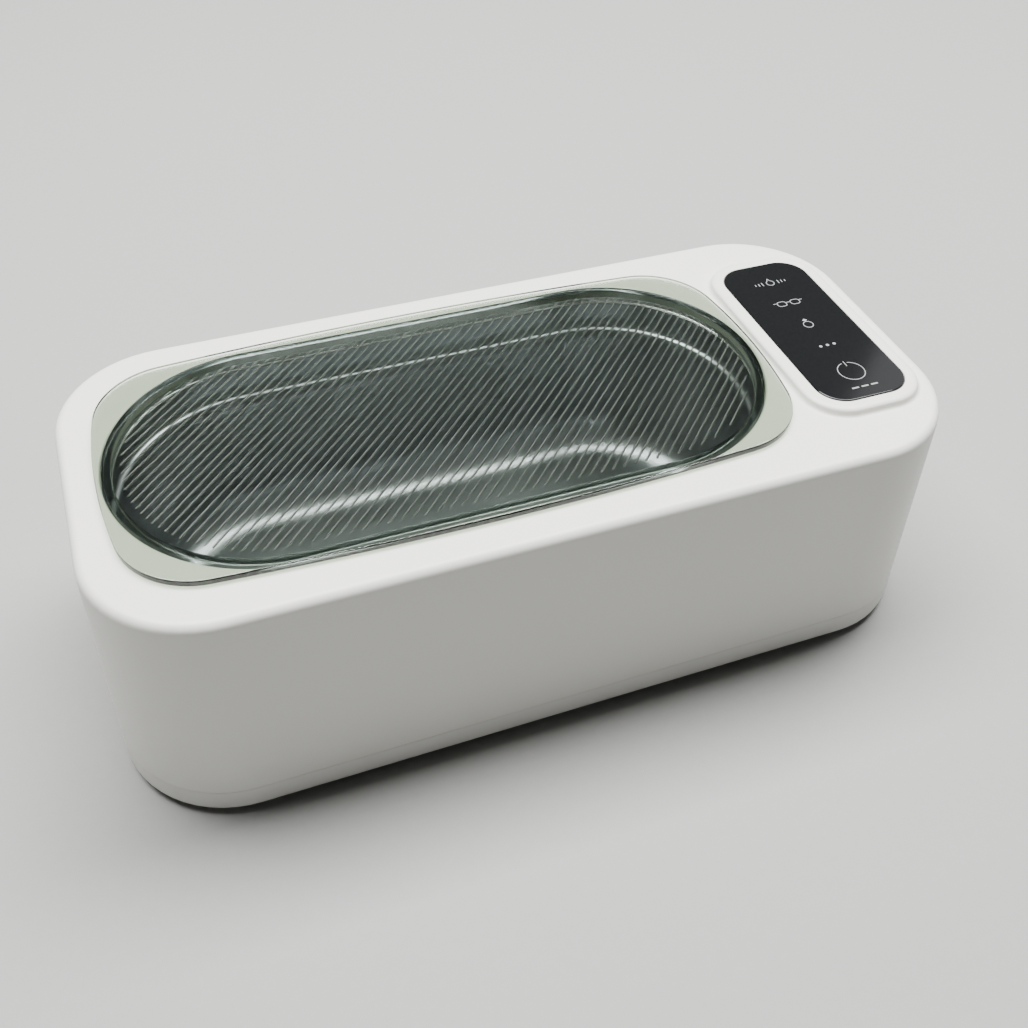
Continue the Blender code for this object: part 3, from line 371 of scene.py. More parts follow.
def make_upper_housing():
    bm = bmesh.new()
    rim_z = RIM_Z - SEAM + SEAM_GAP
    length = housing_high.x - housing_low.x
    width = housing_high.y - housing_low.y
    corner = DECK_CORNER + DRAFT * (DECK_Z - RIM_Z)
    side = DECK_Z - DECK_EDGE_ROUND - rim_z
    steps = [(DRAFT * side, side)] + side_to_top(DECK_EDGE_ROUND, 8)
    rim_outer, deck_edge = walls(bm, flat(bm, length, width, corner, rim_z), steps)

    inside = flat(bm, length - 2 * WALL, width - 2 * WALL, corner - WALL, rim_z)
    side = DECK_UNDER_Z - rim_z
    rim_inner, ceiling_edge = walls(bm, inside, [(DRAFT * side, side)])
    bmesh.ops.triangle_fill(bm, use_beauty=True, edges=rim_outer + rim_inner)

    mouth = obround(
        bm, MOUTH_LENGTH + 2 * MOUTH_ROUND, MOUTH_WIDTH + 2 * MOUTH_ROUND, DECK_Z, MOUTH_CENTRE
    )
    drop = DECK_THICKNESS - MOUTH_ROUND
    mouth_top, mouth_bottom = walls(bm, mouth, top_to_hole(MOUTH_ROUND) + [(0, -drop)])

    lens_length = lens_high.y - lens_low.y
    lens_width = lens_high.x - lens_low.x
    lens_centre = tuple(middle_of("panel_lens").xy)
    margin = BOSS_MARGIN + BOSS_FOOT_ROUND
    boss = flat(
        bm,
        lens_width + 2 * margin,
        lens_length + 2 * margin,
        LENS_CORNER + margin,
        DECK_Z,
        lens_centre,
    )
    ledge_z = lens_low.z - LENS_GAP
    steps = top_to_wall(BOSS_FOOT_ROUND)
    steps += [(0, BOSS_HEIGHT - BOSS_FOOT_ROUND - BOSS_EDGE_RISE)]
    squash = BOSS_EDGE_RISE / BOSS_EDGE_ROUND
    steps += [(inset, rise * squash) for inset, rise in side_to_top(BOSS_EDGE_ROUND)]
    steps += [(BOSS_MARGIN - BOSS_EDGE_ROUND - LENS_GAP - LENS_FRAME_EDGE, 0)]
    steps += top_to_hole(LENS_FRAME_EDGE, 2) + [(0, ledge_z - BOSS_Z + LENS_FRAME_EDGE)]
    steps += [(LENS_LEDGE + LENS_GAP, 0), (0, DECK_UNDER_Z - ledge_z)]
    boss_foot, window = walls(bm, boss, steps)

    edges = ceiling_edge + mouth_bottom + window
    bottom = box_mm("base_screw_1")[0].z + POST_ABOVE_SCREW
    places = centres_of("base_screw", 4)
    edges += make_screw_seats(bm, places, radius=3.5, pilot=1.55, bottom=bottom, depth=9)
    places = centres_of("tank_screw", 6)
    edges += make_screw_seats(bm, places, radius=2.2, pilot=1.3, bottom=gasket_low.z, depth=3)
    bottom = box_mm("touch_board")[1].z + SEAM
    places = centres_of("touch_board_screw", 2)
    edges += make_screw_seats(bm, places, radius=2.2, pilot=1.3, bottom=bottom, depth=4)
    bmesh.ops.triangle_fill(bm, use_beauty=True, edges=deck_edge + mouth_top + boss_foot)
    bmesh.ops.triangle_fill(bm, use_beauty=True, edges=edges)

    jack_centre = middle_of("dc_jack")
    hole = bmesh.new()
    bmesh.ops.create_cone(
        hole,
        cap_ends=True,
        segments=48,
        radius1=SOCKET_HOLE,
        radius2=SOCKET_HOLE,
        depth=SOCKET_HOLE_DEPTH,
        matrix=Matrix.Translation((jack_centre.x, housing_high.y - 1, jack_centre.z))
        @ Matrix.Rotation(math.pi / 2, 4, "X"),
    )
    bm = combine(bm, hole, "DIFFERENCE")
    obj = piece_from(bm, "upper_shell", abs_white, "base", ["upper_housing"])


abs_white = make_moulded("satin_white_abs", ("EBEAE3", "EEEDE6"), 0.42)
make_upper_housing()

# ---------------------------------------------------------------- tank gasket
# A flat silicone ring between the deck and the tank's flange. It keeps splashes out of the body.

silicone_grey = make_moulded("silicone_grey", ("9C9E9D", "A3A5A4"), 0.6, grain=1.5)


def dress(nodes, material):
    """Gives CAD nodes that are kept as they are their material."""
    for name in nodes:
        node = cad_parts[name]
        node.data.materials.clear()
        node.data.materials.append(material)


dress(["tank_gasket"], silicone_grey)

# ---------------------------------------------------------------- tank
# A deep pan drawn from 0.8 mm stainless sheet. The flange hangs under the deck, a shallow
# shoulder marks the water line, and drawing leaves faint upright lines in its satin wall.

SHEET = 0.8
FLANGE = 4.0
LIP_ROUND = 1.2
SHOULDER_DROP = 12.0
SHOULDER_STEP = 2.4
SHOULDER_STRETCH = 3
FLOOR_ROUND = 9.0
WALL_LEAN = 0.005
EAR = 2.6
EAR_HOLE = 1.3


def make_drawn_steel():
    material, tree, shader, position = new_material("drawn_stainless_steel", Metallic=1.0)
    stretch = add_node(tree, "ShaderNodeMapping", {"Vector": position, "Scale": (1, 1, 0.06)})
    lines = add_node(
        tree,
        "ShaderNodeTexNoise",
        {"Vector": stretch.outputs[0], "Scale": 1000 / 1.6, "Detail": 2.0},
    )
    smears = add_node(
        tree, "ShaderNodeTexNoise", {"Vector": position, "Scale": 1000 / 30, "Detail": 1.0}
    )
    tone = add_node(
        tree,
        "ShaderNodeMix",
        {0: smears.outputs[0], 6: linear("8C9194"), 7: linear("969A9D")},
        data_type="RGBA",
    )
    sheen = add_node(tree, "ShaderNodeMapRange", {0: smears.outputs[0], 3: 0.26, 4: 0.32})
    bump = add_node(tree, "ShaderNodeBump", {"Height": lines.outputs[0], "Distance": 0.000002})
    tree.links.new(tone.outputs[2], shader.inputs["Base Color"])
    tree.links.new(sheen.outputs[0], shader.inputs["Roughness"])
    tree.links.new(bump.outputs[0], shader.inputs["Normal"])
    return material


def make_tank():
    tank_low, tank_high = box_mm("tank")
    flange_z = tank_high.z
    floor_z = tank_low.z + SHEET
    shoulder_z = DECK_Z - SHOULDER_DROP
    bm = bmesh.new()
    rims = []
    lean = side_to_top(SHOULDER_STEP / 2, 5)
    reach = SHOULDER_STRETCH * SHOULDER_STEP / 2
    wall = shoulder_z - reach - floor_z - FLOOR_ROUND
    for behind in (0, SHEET):
        length = MOUTH_LENGTH + 2 * FLANGE
        width = MOUTH_WIDTH + 2 * FLANGE
        face = obround(bm, length, width, flange_z - behind, MOUTH_CENTRE, 32)
        steps = [(FLANGE - LIP_ROUND, 0)] + top_to_hole(LIP_ROUND - behind)
        steps += [(0, shoulder_z + reach - flange_z + LIP_ROUND)]
        # The shoulder is a soft S: it leaves the upper wall, leans in, and meets the lower one.
        for inset, rise in lean + lean[::-1]:
            steps.append((inset, -SHOULDER_STRETCH * rise))
        steps += [(WALL_LEAN * wall, -wall)]
        steps += [(inset, -rise) for inset, rise in side_to_top(FLOOR_ROUND + behind, 12)]
        rims += walls(bm, face, steps, capped=True)[0]
    bmesh.ops.bridge_loops(bm, edges=rims)
    ears = bmesh.new()
    holes = bmesh.new()
    for x, y in centres_of("tank_screw", 6):
        place = Matrix.Translation((x, y, flange_z - SHEET / 2))
        for target, radius, depth in ((ears, EAR, SHEET), (holes, EAR_HOLE, 5 * SHEET)):
            bmesh.ops.create_cone(
                target,
                cap_ends=True,
                segments=24,
                radius1=radius,
                radius2=radius,
                depth=depth,
                matrix=place,
            )
    bm = combine(combine(bm, ears, "UNION"), holes, "DIFFERENCE")
    obj = piece_from(bm, "tank_pan", drawn_steel, "base", ["tank"])


drawn_steel = make_drawn_steel()
make_tank()

# ---------------------------------------------------------------- panel lens
# A black acrylic plate, polished on top and printed behind, stuck in the raised frame. Its four
# modes are small pictures: a drop, glasses, a ring and dots. Below them is the power sign.

LENS_EDGE = 0.3
INK = 0.02
STROKE = 0.2


def make_black_acrylic():
    """Polished sheet: no grain, only the faint orange peel of its hard coat."""
    material, tree, shader, position = new_material("black_acrylic", Roughness=0.09, IOR=1.49)
    peel = add_node(tree, "ShaderNodeTexNoise", {"Vector": position, "Scale": 1000 / 6})
    dust = add_node(
        tree, "ShaderNodeTexNoise", {"Vector": position, "Scale": 1000 / 0.7, "Detail": 4.0}
    )
    tone = add_node(
        tree,
        "ShaderNodeMix",
        {0: dust.outputs[0], 6: linear("131415"), 7: linear("1A1B1C")},
        data_type="RGBA",
    )
    bump = add_node(tree, "ShaderNodeBump", {"Height": peel.outputs[0], "Distance": 0.000006})
    tree.links.new(tone.outputs[2], shader.inputs["Base Color"])
    tree.links.new(bump.outputs[0], shader.inputs["Normal"])
    return material


def make_lens():
    bm = bmesh.new()
    length = lens_high.y - lens_low.y
    width = lens_high.x - lens_low.x
    face = flat(bm, width, length, LENS_CORNER, lens_low.z, tuple(middle_of("panel_lens").xy))
    side = lens_high.z - lens_low.z - LENS_EDGE
    back = walls(bm, face, [(0, side)] + side_to_top(LENS_EDGE, 4), capped=True)[0]
    bmesh.ops.contextual_create(bm, geom=back)
    obj = piece_from(bm, "panel_window", black_acrylic, "base", ["panel_lens"])


def line_round(bm, face):
    """Keeps only a line of ink along a face's edge."""
    open_face(bm, pull(bm, face, [(STROKE, 0)]))


def make_panel_print():
    bm = bmesh.new()
    z = lens_high.z
    places = [middle_of(f"mode_led_{number}").xy for number in (1, 2, 3, 4)]

    x, y = places[0]
    drop = round_flat(bm, 1.15, z, (x, y), 24)
    tip = max(drop.verts, key=lambda vert: vert.co.y)
    tip.co.y += 0.9
    for neighbour in (edge.other_vert(tip) for edge in tip.link_edges):
        neighbour.co.y += 0.35
    line_round(bm, drop)
    for side in (-1, 1):
        for reach in (2.3, 3.3, 4.3):
            flat(bm, 0.24, 2.3 - 0.35 * reach, 0.1, z, (x + side * reach, y), 3)

    x, y = places[1]
    for side in (-1, 1):
        line_round(bm, flat(bm, 2.7, 2.1, 0.9, z, (x + side * 1.9, y), 6))
        flat(bm, 1.0, STROKE, 0.1, z, (x + side * 3.7, y + 0.5), 3)
    flat(bm, 1.1, STROKE, 0.1, z, (x, y + 0.35), 3)

    x, y = places[2]
    line_round(bm, round_flat(bm, 1.35, z, (x, y - 0.4), 28))
    stone = flat(bm, 1.0, 1.0, 0.01, z, (0, 0), 1)
    bmesh.ops.rotate(bm, verts=stone.verts, matrix=Matrix.Rotation(math.pi / 4, 3, "Z"))
    bmesh.ops.scale(bm, verts=stone.verts, vec=(1.0, 0.8, 1.0))
    bmesh.ops.translate(bm, verts=stone.verts, vec=(x, y + 1.5, 0))

    x, y = places[3]
    for shift in (-1.9, 0, 1.9):
        round_flat(bm, 0.42, z, (x + shift, y), 14)

    x, y = middle_of("power_led").xy
    drawn = set(bm.faces)
    line_round(bm, round_flat(bm, 3.4, z, (x, y), 56))
    gap = []
    for face in set(bm.faces) - drawn:
        middle = face.calc_center_median()
        if middle.y > y and abs(middle.x - x) < 0.8:
            gap.append(face)
    bmesh.ops.delete(bm, geom=gap, context="FACES")
    flat(bm, STROKE, 1.9, 0.1, z, (x, y + 2.9), 3)
    for shift in (-2.6, 0, 2.6):
        flat(bm, 1.9, 0.45, 0.15, z, (x + shift, y - 6.0), 3)

    whole = bmesh.ops.extrude_face_region(bm, geom=bm.faces[:])
    raised = [part for part in whole["geom"] if isinstance(part, bmesh.types.BMVert)]
    bmesh.ops.translate(bm, verts=raised, vec=(0, 0, INK))
    piece = piece_from(bm, "panel_print", print_grey, "base")


black_acrylic = make_black_acrylic()
print_grey = make_moulded("screen_ink", ("8C8E8E", "9A9C9C"), 0.45, grain=0.5)
make_lens()
make_panel_print()

# ---------------------------------------------------------------- panel electronics
# Under the lens: a black mask with a well for each light, LEDs on a small glass-epoxy board with
# its chip, and the coil spring that carries a finger's touch up to the lens.


def make_mottled(name, tones, roughness, size, metallic=0.0, depth=0.0):
    """A surface with two tones in blotches of a given size in millimetres."""
    material, tree, shader, position = new_material(name, Metallic=metallic)
    blotches = add_node(
        tree, "ShaderNodeTexNoise", {"Vector": position, "Scale": 1000 / size, "Detail": 3.0}
    )
    tone = add_node(
        tree,
        "ShaderNodeMix",
        {0: blotches.outputs[0], 6: linear(tones[0]), 7: linear(tones[1])},
        data_type="RGBA",
    )
    sheen = add_node(
        tree,
        "ShaderNodeMapRange",
        {0: blotches.outputs[0], 3: roughness * 0.85, 4: roughness * 1.15},
    )
    tree.links.new(tone.outputs[2], shader.inputs["Base Color"])
    tree.links.new(sheen.outputs[0], shader.inputs["Roughness"])
    if depth:
        bump = add_node(
            tree, "ShaderNodeBump", {"Height": blotches.outputs[0], "Distance": depth / 1000}
        )
        tree.links.new(bump.outputs[0], shader.inputs["Normal"])
    return material


def make_banded(name, tones, roughness, pitch, axis, metallic=0.0):
    """A surface ruled with fine bands along one axis, for windings, weaves and stranded parts."""
    material, tree, shader, position = new_material(name, Metallic=metallic, Roughness=roughness)
    bands = add_node(
        tree,
        "ShaderNodeTexWave",
        {"Vector": position, "Scale": 1000 / pitch / 20, "Distortion": 0.6},
        bands_direction=axis,
    )
    tone = add_node(
        tree,
        "ShaderNodeMix",
        {0: bands.outputs["Fac"], 6: linear(tones[0]), 7: linear(tones[1])},
        data_type="RGBA",
    )
    bump = add_node(tree, "ShaderNodeBump", {"Height": bands.outputs["Fac"], "Distance": 0.00004})
    tree.links.new(tone.outputs[2], shader.inputs["Base Color"])
    tree.links.new(bump.outputs[0], shader.inputs["Normal"])
    return material


def numbered(name, count):
    return [f"{name}_{number}" for number in range(1, count + 1)]


black_abs = make_moulded("matt_black_abs", ("131314", "19191A"), 0.55)
board_green = make_mottled("solder_mask_green", ("0E4A2B", "14573A"), 0.32, 3.0, depth=0.01)
chip_black = make_moulded("moulded_epoxy_black", ("1B1B1C", "232324"), 0.5, grain=0.3)
led_resin = make_mottled("milky_led_resin", ("E9E6D2", "F4F1E2"), 0.22, 0.6)
plated_steel = make_mottled("zinc_plated_steel", ("A9ABAD", "BEBFC0"), 0.3, 1.4, metallic=1.0)
dress(["light_mask"], black_abs)
dress(["touch_board", "main_board"], board_green)
dress(["touch_chip", "control_chip", "power_transistor"], chip_black)
dress(numbered("mode_led", 4) + ["power_led"], led_resin)
dress(["touch_spring"], plated_steel)

# ---------------------------------------------------------------- transducer
# A silvered piezo disc, glued under the tank's floor in a fillet of hard epoxy. Red and black
# leads in PVC run from it to its socket on the main board.

fired_silver = make_mottled(
    "fired_silver_on_ceramic", ("B9B6AE", "CFCDC6"), 0.42, 2.0, metallic=0.8
)
hard_epoxy = make_mottled("hard_epoxy_glue", ("6B5B3C", "7C6A45"), 0.25, 4.0, depth=0.02)
red_pvc = make_moulded("red_pvc_sleeve", ("A81C1C", "B52424"), 0.4, grain=0.5)
black_pvc = make_moulded("black_pvc_sleeve", ("161617", "1D1D1E"), 0.4, grain=0.5)
dress(["transducer_disc"], fired_silver)
dress(["transducer_bond"], hard_epoxy)
dress(["transducer_lead_red", "jack_lead_red"], red_pvc)
dress(["transducer_lead_black", "jack_lead_black"], black_pvc)

# ---------------------------------------------------------------- main board
# The driver stands on its board at the right: a ferrite transformer in yellow tape, a wound
# choke, a finned aluminium heat sink, sleeved capacitors, a fuse and nylon sockets.

ferrite = make_mottled("sintered_ferrite", ("2A2A2C", "343437"), 0.62, 0.5, depth=0.01)
yellow_tape = make_banded("yellow_polyester_tape", ("D8B62E", "E6C640"), 0.28, 0.9, "Z")
enamelled_wire = make_banded("enamelled_copper_wire", ("8A3F17", "C0692F"), 0.3, 0.8, "Z", 0.9)
extruded_aluminium = make_banded("extruded_aluminium", ("A7A9AB", "B4B6B8"), 0.35, 0.4, "Y", 1.0)
blue_sleeve = make_moulded("blue_shrink_sleeve", ("1B2E5A", "223868"), 0.25, grain=1.2)
fuse_plastic = make_moulded("fuse_case_black", ("202022", "29292B"), 0.35, grain=0.4)
white_nylon = make_moulded("white_nylon", ("E4E2D6", "ECEADF"), 0.45, grain=0.4)
grey_ribbon = make_banded("grey_pvc_ribbon", ("8D8F92", "B4B6B8"), 0.45, 1.27, "Y")
dress(["transformer_core"], ferrite)
dress(["transformer_winding"], yellow_tape)
dress(["choke"], enamelled_wire)
dress(["heatsink"], extruded_aluminium)
dress(numbered("capacitor", 2), blue_sleeve)
dress(["fuse"], fuse_plastic)
dress(["transducer_connector", "panel_connector", "power_connector"], white_nylon)
dress(["panel_ribbon_cable"], grey_ribbon)
dress(numbered("tank_screw", 6) + numbered("touch_board_screw", 2), plated_steel)
dress(numbered("main_board_screw", 4), plated_steel)

# ---------------------------------------------------------------- adapter socket
# A round low-voltage socket in the back wall, moulded in black nylon, with its pin deep in the
# bore. Its body stays inside, and only the collar shows.

COLLAR = 4.4
COLLAR_EDGE = 0.35
BORE = 2.8
BORE_DEPTH = 9.0
BORE_EDGE = 0.3
PIN = 1.0
PIN_DROP = 0.9
PIN_POINT = 0.5
SOCKET_BODY = 9.0
SOCKET_EDGE = 0.4


def make_socket():
    """Known fault: the cut that opens the bore returns nothing, so the body's block is lost.

    The block's corner equals its edge round, so its end closes to points. Only the collar, its
    bore and the pin are left.
    """
    low, high = box_mm("dc_jack")
    centre = middle_of("dc_jack")
    reach = high.y - low.y
    body_depth = SOCKET_BODY + 0.5
    bm = bmesh.new()
    block = flat(bm, SOCKET_BODY, high.z - low.z, SOCKET_EDGE, 0, (0, 0), 3)
    steps = [(0, body_depth - SOCKET_EDGE)] + side_to_top(SOCKET_EDGE, 2)
    back = walls(bm, block, steps, capped=True)[0]
    bmesh.ops.contextual_create(bm, geom=back)
    collar = bmesh.new()
    ring = round_flat(collar, COLLAR, 1.0, (0, 0), 48)
    steps = [(0, reach - 1 - COLLAR_EDGE)] + side_to_top(COLLAR_EDGE, 4)
    steps += [(COLLAR - COLLAR_EDGE - BORE - BORE_EDGE, 0)] + top_to_hole(BORE_EDGE, 4)
    steps += [(0, BORE_EDGE - BORE_DEPTH), (BORE - PIN, 0)]
    steps += [(0, BORE_DEPTH - PIN_DROP - PIN_POINT)] + side_to_top(PIN_POINT, 3)
    back = walls(collar, ring, steps, capped=True)[0]
    bmesh.ops.contextual_create(collar, geom=back)
    bore = bmesh.new()
    ring = round_flat(bore, BORE - 0.01, reach - BORE_DEPTH, (0, 0), 48)
    back = walls(bore, ring, [(0, BORE_DEPTH - 1)], capped=True)[0]
    bmesh.ops.contextual_create(bore, geom=back)
    bm = combine(combine(bm, bore, "DIFFERENCE"), collar, "UNION")
    turn = Matrix.Rotation(-math.pi / 2, 4, "X")
    bmesh.ops.transform(
        bm, verts=bm.verts, matrix=Matrix.Translation((centre.x, low.y, centre.z)) @ turn
    )
    obj = piece_from(bm, "adapter_socket", black_nylon, "base", ["dc_jack"])


black_nylon = make_moulded("black_nylon", ("17171A", "1E1E21"), 0.38, grain=0.5)
make_socket()

# ---------------------------------------------------------------- base cover
# The shallow lower shell, in the same ABS, painted a shade darker than the upper shell as painted
# shade on its lower band. A lip locates it in the upper shell, and four tubes take the screws up
# to the posts.

BASE_FLOOR = 2.2
BASE_EDGE_ROUND = 1.8
BASE_LIP = 3.0
BASE_LIP_WALL = 1.5
SCREW_HOLE = 1.55
SCREW_SEAT = 2.9
SCREW_SEAT_DEPTH = 2.0
TUBE = 4.2
TUBE_PAST_RIM = 0.4
PILLAR = 2.5
PILLAR_HOLE = 1.3
PILLAR_SKIN = 1
RECESS = 6.2
RECESS_DEPTH = 0.8


def make_base_cover():
    low, high = box_mm("base_cover")
    seam_z = RIM_Z - SEAM
    floor_z = low.z + BASE_FLOOR
    seat_z = box_mm("base_screw_1")[0].z + SCREW_SEAT_DEPTH
    length = high.x - low.x
    width = high.y - low.y
    corner = DECK_CORNER + DRAFT * (DECK_Z - low.z)
    edge = BASE_EDGE_ROUND
    bm = bmesh.new()
    start = flat(bm, length - 2 * edge, width - 2 * edge, corner - edge, low.z)
    band = seam_z - low.z - edge
    steps = [(-rise, inset) for inset, rise in side_to_top(edge)]
    steps += [(DRAFT * band, band), (WALL + SEAM, 0), (0, BASE_LIP), (BASE_LIP_WALL, 0)]
    steps += [(0, floor_z - seam_z - BASE_LIP)]
    under_edges, floor_edges = walls(bm, start, steps)

    tube_top = RIM_Z + TUBE_PAST_RIM
    for centre in centres_of("base_screw", 4):
        tube = round_flat(bm, TUBE, floor_z, centre)
        steps = [(0, tube_top - floor_z), (TUBE - SCREW_HOLE, 0), (0, seat_z - tube_top)]
        steps += [(SCREW_HOLE - SCREW_SEAT, 0), (0, low.z - seat_z)]
        tube_foot, seat_mouth = walls(bm, tube, steps)
        floor_edges += tube_foot
        under_edges += seat_mouth
    pillar_top = box_mm("main_board")[0].z - SEAM
    for centre in centres_of("main_board_screw", 4):
        pillar = round_flat(bm, PILLAR, floor_z, centre)
        steps = [(0, pillar_top - floor_z), (PILLAR - PILLAR_HOLE, 0)]
        steps += [(0, low.z + PILLAR_SKIN - pillar_top)]
        floor_edges += walls(bm, pillar, steps, capped=True)[0]
    for centre in centres_of("foot", 4):
        recess = round_flat(bm, RECESS, low.z, centre, 48)
        under_edges += walls(bm, recess, [(0, RECESS_DEPTH)], capped=True)[0]
    bmesh.ops.triangle_fill(bm, use_beauty=True, edges=floor_edges)
    bmesh.ops.triangle_fill(bm, use_beauty=True, edges=under_edges)
    obj = piece_from(bm, "lower_shell", abs_base_painted_shade, "base", ["base_cover"])


# The base's copy of the white ABS is darker only as painted shade on the lower band.
abs_base_painted_shade = make_moulded("satin_white_abs_base_painted_shade", ("E6E5DF", "EAE9E3"), 0.46)
make_base_cover()

# ---------------------------------------------------------------- base screws and feet
# Four pan-head screws, sunk in the base's tubes, hold the shells together. Four soft grey-black
# rubber pads are stuck into shallow recesses, so that the bath doesn't walk as it buzzes.

HEAD = 2.5
HEAD_HEIGHT = 1.7
HEAD_DOME = [(0, -0.9), (0.25, -0.45), (0.6, -0.35)]
SHANK = 1.25
TIP = 0.4
TIP_LENGTH = 1.0
CROSS_ARM = (2.6, 0.62)
CROSS_CORNER = 0.25
FOOT_EDGE = 0.6


def make_base_screws():
    for number, (x, y) in enumerate(centres_of("base_screw", 4), 1):
        low, high = box_mm(f"base_screw_{number}")
        seat_z = low.z + HEAD_HEIGHT
        bm = bmesh.new()
        tip = round_flat(bm, TIP, high.z, (x, y), 20)
        steps = [(TIP - SHANK, -TIP_LENGTH), (0, seat_z + TIP_LENGTH - high.z)]
        steps += [(SHANK - HEAD, 0)] + HEAD_DOME
        start = walls(bm, tip, steps, capped=True)[0]
        bmesh.ops.contextual_create(bm, geom=start)
        # The arms cross, so they are cut one after the other.
        for length, width in (CROSS_ARM, CROSS_ARM[::-1]):
            arm = bmesh.new()
            mouth = flat(arm, length, width, CROSS_CORNER, low.z - 1, (x, y), 4)
            start = walls(arm, mouth, [(0, 1.3), (0.2, 0.5)], capped=True)[0]
            bmesh.ops.contextual_create(arm, geom=start)
            bm = combine(bm, arm, "DIFFERENCE")
        name = f"base_screw_{number}"
        obj = piece_from(bm, f"pan_head_screw_{number}", plated_steel, "base", [name])


def make_feet():
    for number, (x, y) in enumerate(centres_of("foot", 4), 1):
        low, high = box_mm(f"foot_{number}")
        radius = (high.x - low.x) / 2
        bm = bmesh.new()
        top = round_flat(bm, radius, high.z, (x, y), 64)
        steps = [(0, low.z + FOOT_EDGE - high.z)]
        steps += [(inset, -rise) for inset, rise in side_to_top(FOOT_EDGE, 5)]
        start = walls(bm, top, steps, capped=True)[0]
        bmesh.ops.contextual_create(bm, geom=start)
        obj = piece_from(bm, f"rubber_pad_{number}", foot_rubber, "base", [f"foot_{number}"])


foot_rubber = make_moulded(
    "grey_black_rubber", ("2B2B2C", "333334"), 0.75, grain=0.8, depth=0.02
)
make_base_screws()
make_feet()

# ---------------------------------------------------------------- lid
# One clear part in green-tinted acrylic, which only rests on the deck. Slanted ribs are moulded
# under it, inside the skirt that drops into the tank's mouth. The mould's etching dulls them.

LID_LONG_BOW = 3.4
LID_SHORT_BOW = 5.3
LID_CORNER = 17.8
LID_PLATE = 1.6
LID_EDGE = 0.35
SKIRT_FROM_END = 1.4
SKIRT_FROM_SIDE = 2.35
SKIRT_WALL = 1.9
SKIRT_EDGE = 0.3
RIB_PITCH = 1.88
RIB_WIDTH = 0.55
RIB_HEIGHT = 0.09
RIB_FROM_SKIRT = 2.1
SHORTEST_RIB = 2.0


def make_tinted_acrylic(name, roughness):
    """Clear and polished. The tint is in its depth, so the thin plate is pale and the skirt dark.

    Light that matt surfaces gather comes straight through it, which keeps them free of speckle.
    """
    material, tree, shader, _ = new_material(name, Roughness=roughness, IOR=1.49)
    shader.inputs["Transmission Weight"].default_value = 1.0
    shader.inputs["Base Color"].default_value = linear("FFFFFF")
    output = tree.nodes["Material Output"]
    through = add_node(tree, "ShaderNodeBsdfTransparent", {"Color": linear("CBD1C6")})
    path = add_node(tree, "ShaderNodeLightPath").outputs
    straight = add_node(
        tree,
        "ShaderNodeMath",
        {0: path["Is Diffuse Ray"], 1: path["Is Shadow Ray"]},
        operation="MAXIMUM",
    )
    both = add_node(
        tree,
        "ShaderNodeMixShader",
        {0: straight.outputs[0], 1: shader.outputs[0], 2: through.outputs[0]},
    )
    depth = add_node(
        tree, "ShaderNodeVolumeAbsorption", {"Color": linear("7AA385"), "Density": 88.0}
    )
    tree.links.new(both.outputs[0], output.inputs["Surface"])
    tree.links.new(depth.outputs[0], output.inputs["Volume"])
    return material


def spin_arc(bm, last, centre, degrees, steps):
    """Carries the end of an outline round a centre."""
    made = bmesh.ops.spin(
        bm,
        geom=[last],
        cent=(*centre, last.co.z),
        axis=(0, 0, 1),
        angle=math.radians(degrees),
        steps=steps,
    )
    return made["geom_last"][0]


def lid_outline(bm, length, width, z, centre):
    """The plate's outline: four sides that bow out in wide arcs, joined by round corners."""
    long_radius = ((length / 2) ** 2 + LID_LONG_BOW**2) / (2 * LID_LONG_BOW)
    short_radius = ((width / 2) ** 2 + LID_SHORT_BOW**2) / (2 * LID_SHORT_BOW)
    long_y = width / 2 - long_radius
    short_x = length / 2 - short_radius
    # The corner's centre is where its arc touches both bows from inside.
    reach_long = long_radius - LID_CORNER
    reach_short = short_radius - LID_CORNER
    apart = math.hypot(short_x, long_y)
    along = (apart**2 + reach_long**2 - reach_short**2) / (2 * apart)
    across = math.sqrt(reach_long**2 - along**2)
    towards = Vector((short_x, -long_y)) / apart
    middle = Vector((0, long_y)) + towards * along
    options = [middle + across * side * Vector((-towards.y, towards.x)) for side in (1, -1)]
    corner = max(options, key=lambda point: point.x + point.y)
    short_angle = math.degrees(math.atan2(corner.y, corner.x - short_x))
    long_angle = math.degrees(math.atan2(corner.y - long_y, corner.x))
    last = bm.verts.new((length / 2, 0, z))
    last = spin_arc(bm, last, (short_x, 0), short_angle, 6)
    last = spin_arc(bm, last, corner, long_angle - short_angle, 16)
    last = spin_arc(bm, last, (0, long_y), 90 - long_angle, 10)
    for axis in ("X", "Y"):
        bmesh.ops.mirror(bm, geom=bm.verts[:] + bm.edges[:], axis=axis, merge_dist=0.001)
    bmesh.ops.remove_doubles(bm, verts=bm.verts, dist=0.001)
    bmesh.ops.translate(bm, verts=bm.verts, vec=(*centre, 0))
    return bmesh.ops.contextual_create(bm, geom=bm.edges[:])["faces"][0]


def add_rib(bm, start, end, z):
    """A bar with round ends: a small sphere whose halves are drawn apart."""
    along = end - start
    turn = Matrix.Rotation(math.pi / 2, 4, "Y")
    made = bmesh.ops.create_uvsphere(
        bm, u_segments=10, v_segments=7, radius=RIB_WIDTH / 2, matrix=turn
    )["verts"]
    reach = along.length / 2 - RIB_WIDTH / 2
    for side in (-1, 1):
        half = [vert for vert in made if vert.co.x * side > 0]
        bmesh.ops.translate(bm, verts=half, vec=(side * reach, 0, 0))
    bmesh.ops.scale(bm, verts=made, vec=(1, 1, RIB_HEIGHT / (RIB_WIDTH / 2)))
    turn = Matrix.Rotation(math.atan2(along.y, along.x), 3, "Z")
    bmesh.ops.rotate(bm, verts=made, matrix=turn)
    bmesh.ops.translate(bm, verts=made, vec=(*((start + end) / 2), z))


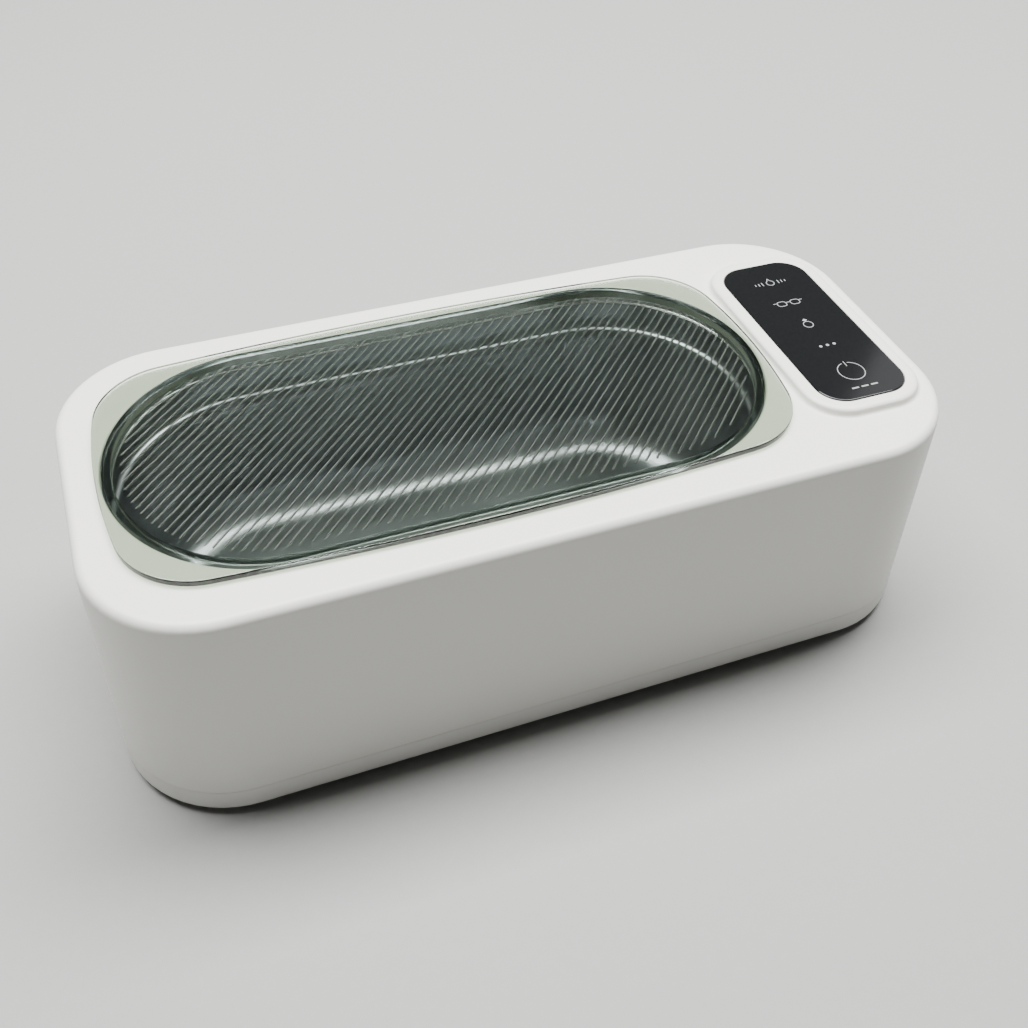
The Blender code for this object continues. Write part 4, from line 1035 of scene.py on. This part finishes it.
def rib_ends(offset, half_straight, radius):
    """Where a 45 degree line at this offset enters and leaves the ribs' half-round-ended field."""
    along = Vector((1, 1)) / math.sqrt(2)
    across = Vector((-1, 1)) / math.sqrt(2)
    stride = 0.1
    inside = []
    for step in range(-1200, 1201):
        point = across * offset + along * step * stride
        beyond = max(abs(point.x) - half_straight, 0)
        if math.hypot(beyond, point.y) < radius:
            inside.append(point)
    return (inside[0], inside[-1]) if len(inside) * stride > SHORTEST_RIB + stride / 2 else None


def make_lid():
    under_z = lid_high.z - LID_PLATE
    centre = tuple(((skirt_low + lid_high) / 2).xy)
    length = lid_high.x - skirt_low.x
    width = lid_high.y - skirt_low.y
    bm = bmesh.new()
    plate = lid_outline(bm, length - 2 * LID_EDGE, width - 2 * LID_EDGE, under_z, centre)
    steps = [(-rise, inset) for inset, rise in side_to_top(LID_EDGE, 3)]
    steps += [(0, LID_PLATE - 2 * LID_EDGE)] + side_to_top(LID_EDGE, 3)
    under_edges = walls(bm, plate, steps, capped=True)[0]

    skirt_length = length - 2 * SKIRT_FROM_END
    skirt_width = width - 2 * SKIRT_FROM_SIDE
    skirt = obround(bm, skirt_length, skirt_width, under_z, centre, 40)
    depth = under_z - skirt_low.z - SKIRT_EDGE
    edge = side_to_top(SKIRT_EDGE, 3)
    steps = [(0, -depth)] + [(inset, -rise) for inset, rise in edge]
    steps += [(SKIRT_WALL - 2 * SKIRT_EDGE, 0)]
    steps += [(rise, inset) for inset, rise in edge] + [(0, depth)]
    under_edges += walls(bm, skirt, steps, capped=True)[0]
    bmesh.ops.triangle_fill(bm, use_beauty=True, edges=under_edges)

    radius = skirt_width / 2 - SKIRT_WALL - RIB_FROM_SKIRT
    half_straight = (skirt_length - skirt_width) / 2
    ribs = bmesh.new()
    count = int((half_straight + radius) * 2 / RIB_PITCH)
    for number in range(-count, count + 1):
        ends = rib_ends(number * RIB_PITCH, half_straight, radius)
        if ends:
            shift = Vector(centre)
            add_rib(ribs, ends[0] + shift, ends[1] + shift, under_z)
    bm = combine(bm, ribs, "UNION")
    for face in bm.faces:
        x, y, z = face.calc_center_median() - Vector((*centre, 0))
        beyond = max(abs(x) - half_straight, 0)
        if z < under_z - 0.01 and math.hypot(beyond, y) < radius + RIB_FROM_SKIRT / 2:
            face.material_index = 1
    obj = piece_from(bm, "ribbed_lid", tinted_acrylic, "lid", ["lid"], sharp=40)
    obj.data.materials.append(etched_acrylic)


tinted_acrylic = make_tinted_acrylic("green_tinted_acrylic", 0.02)
etched_acrylic = make_tinted_acrylic("green_acrylic_etched_ribs", 0.16)
make_lid()
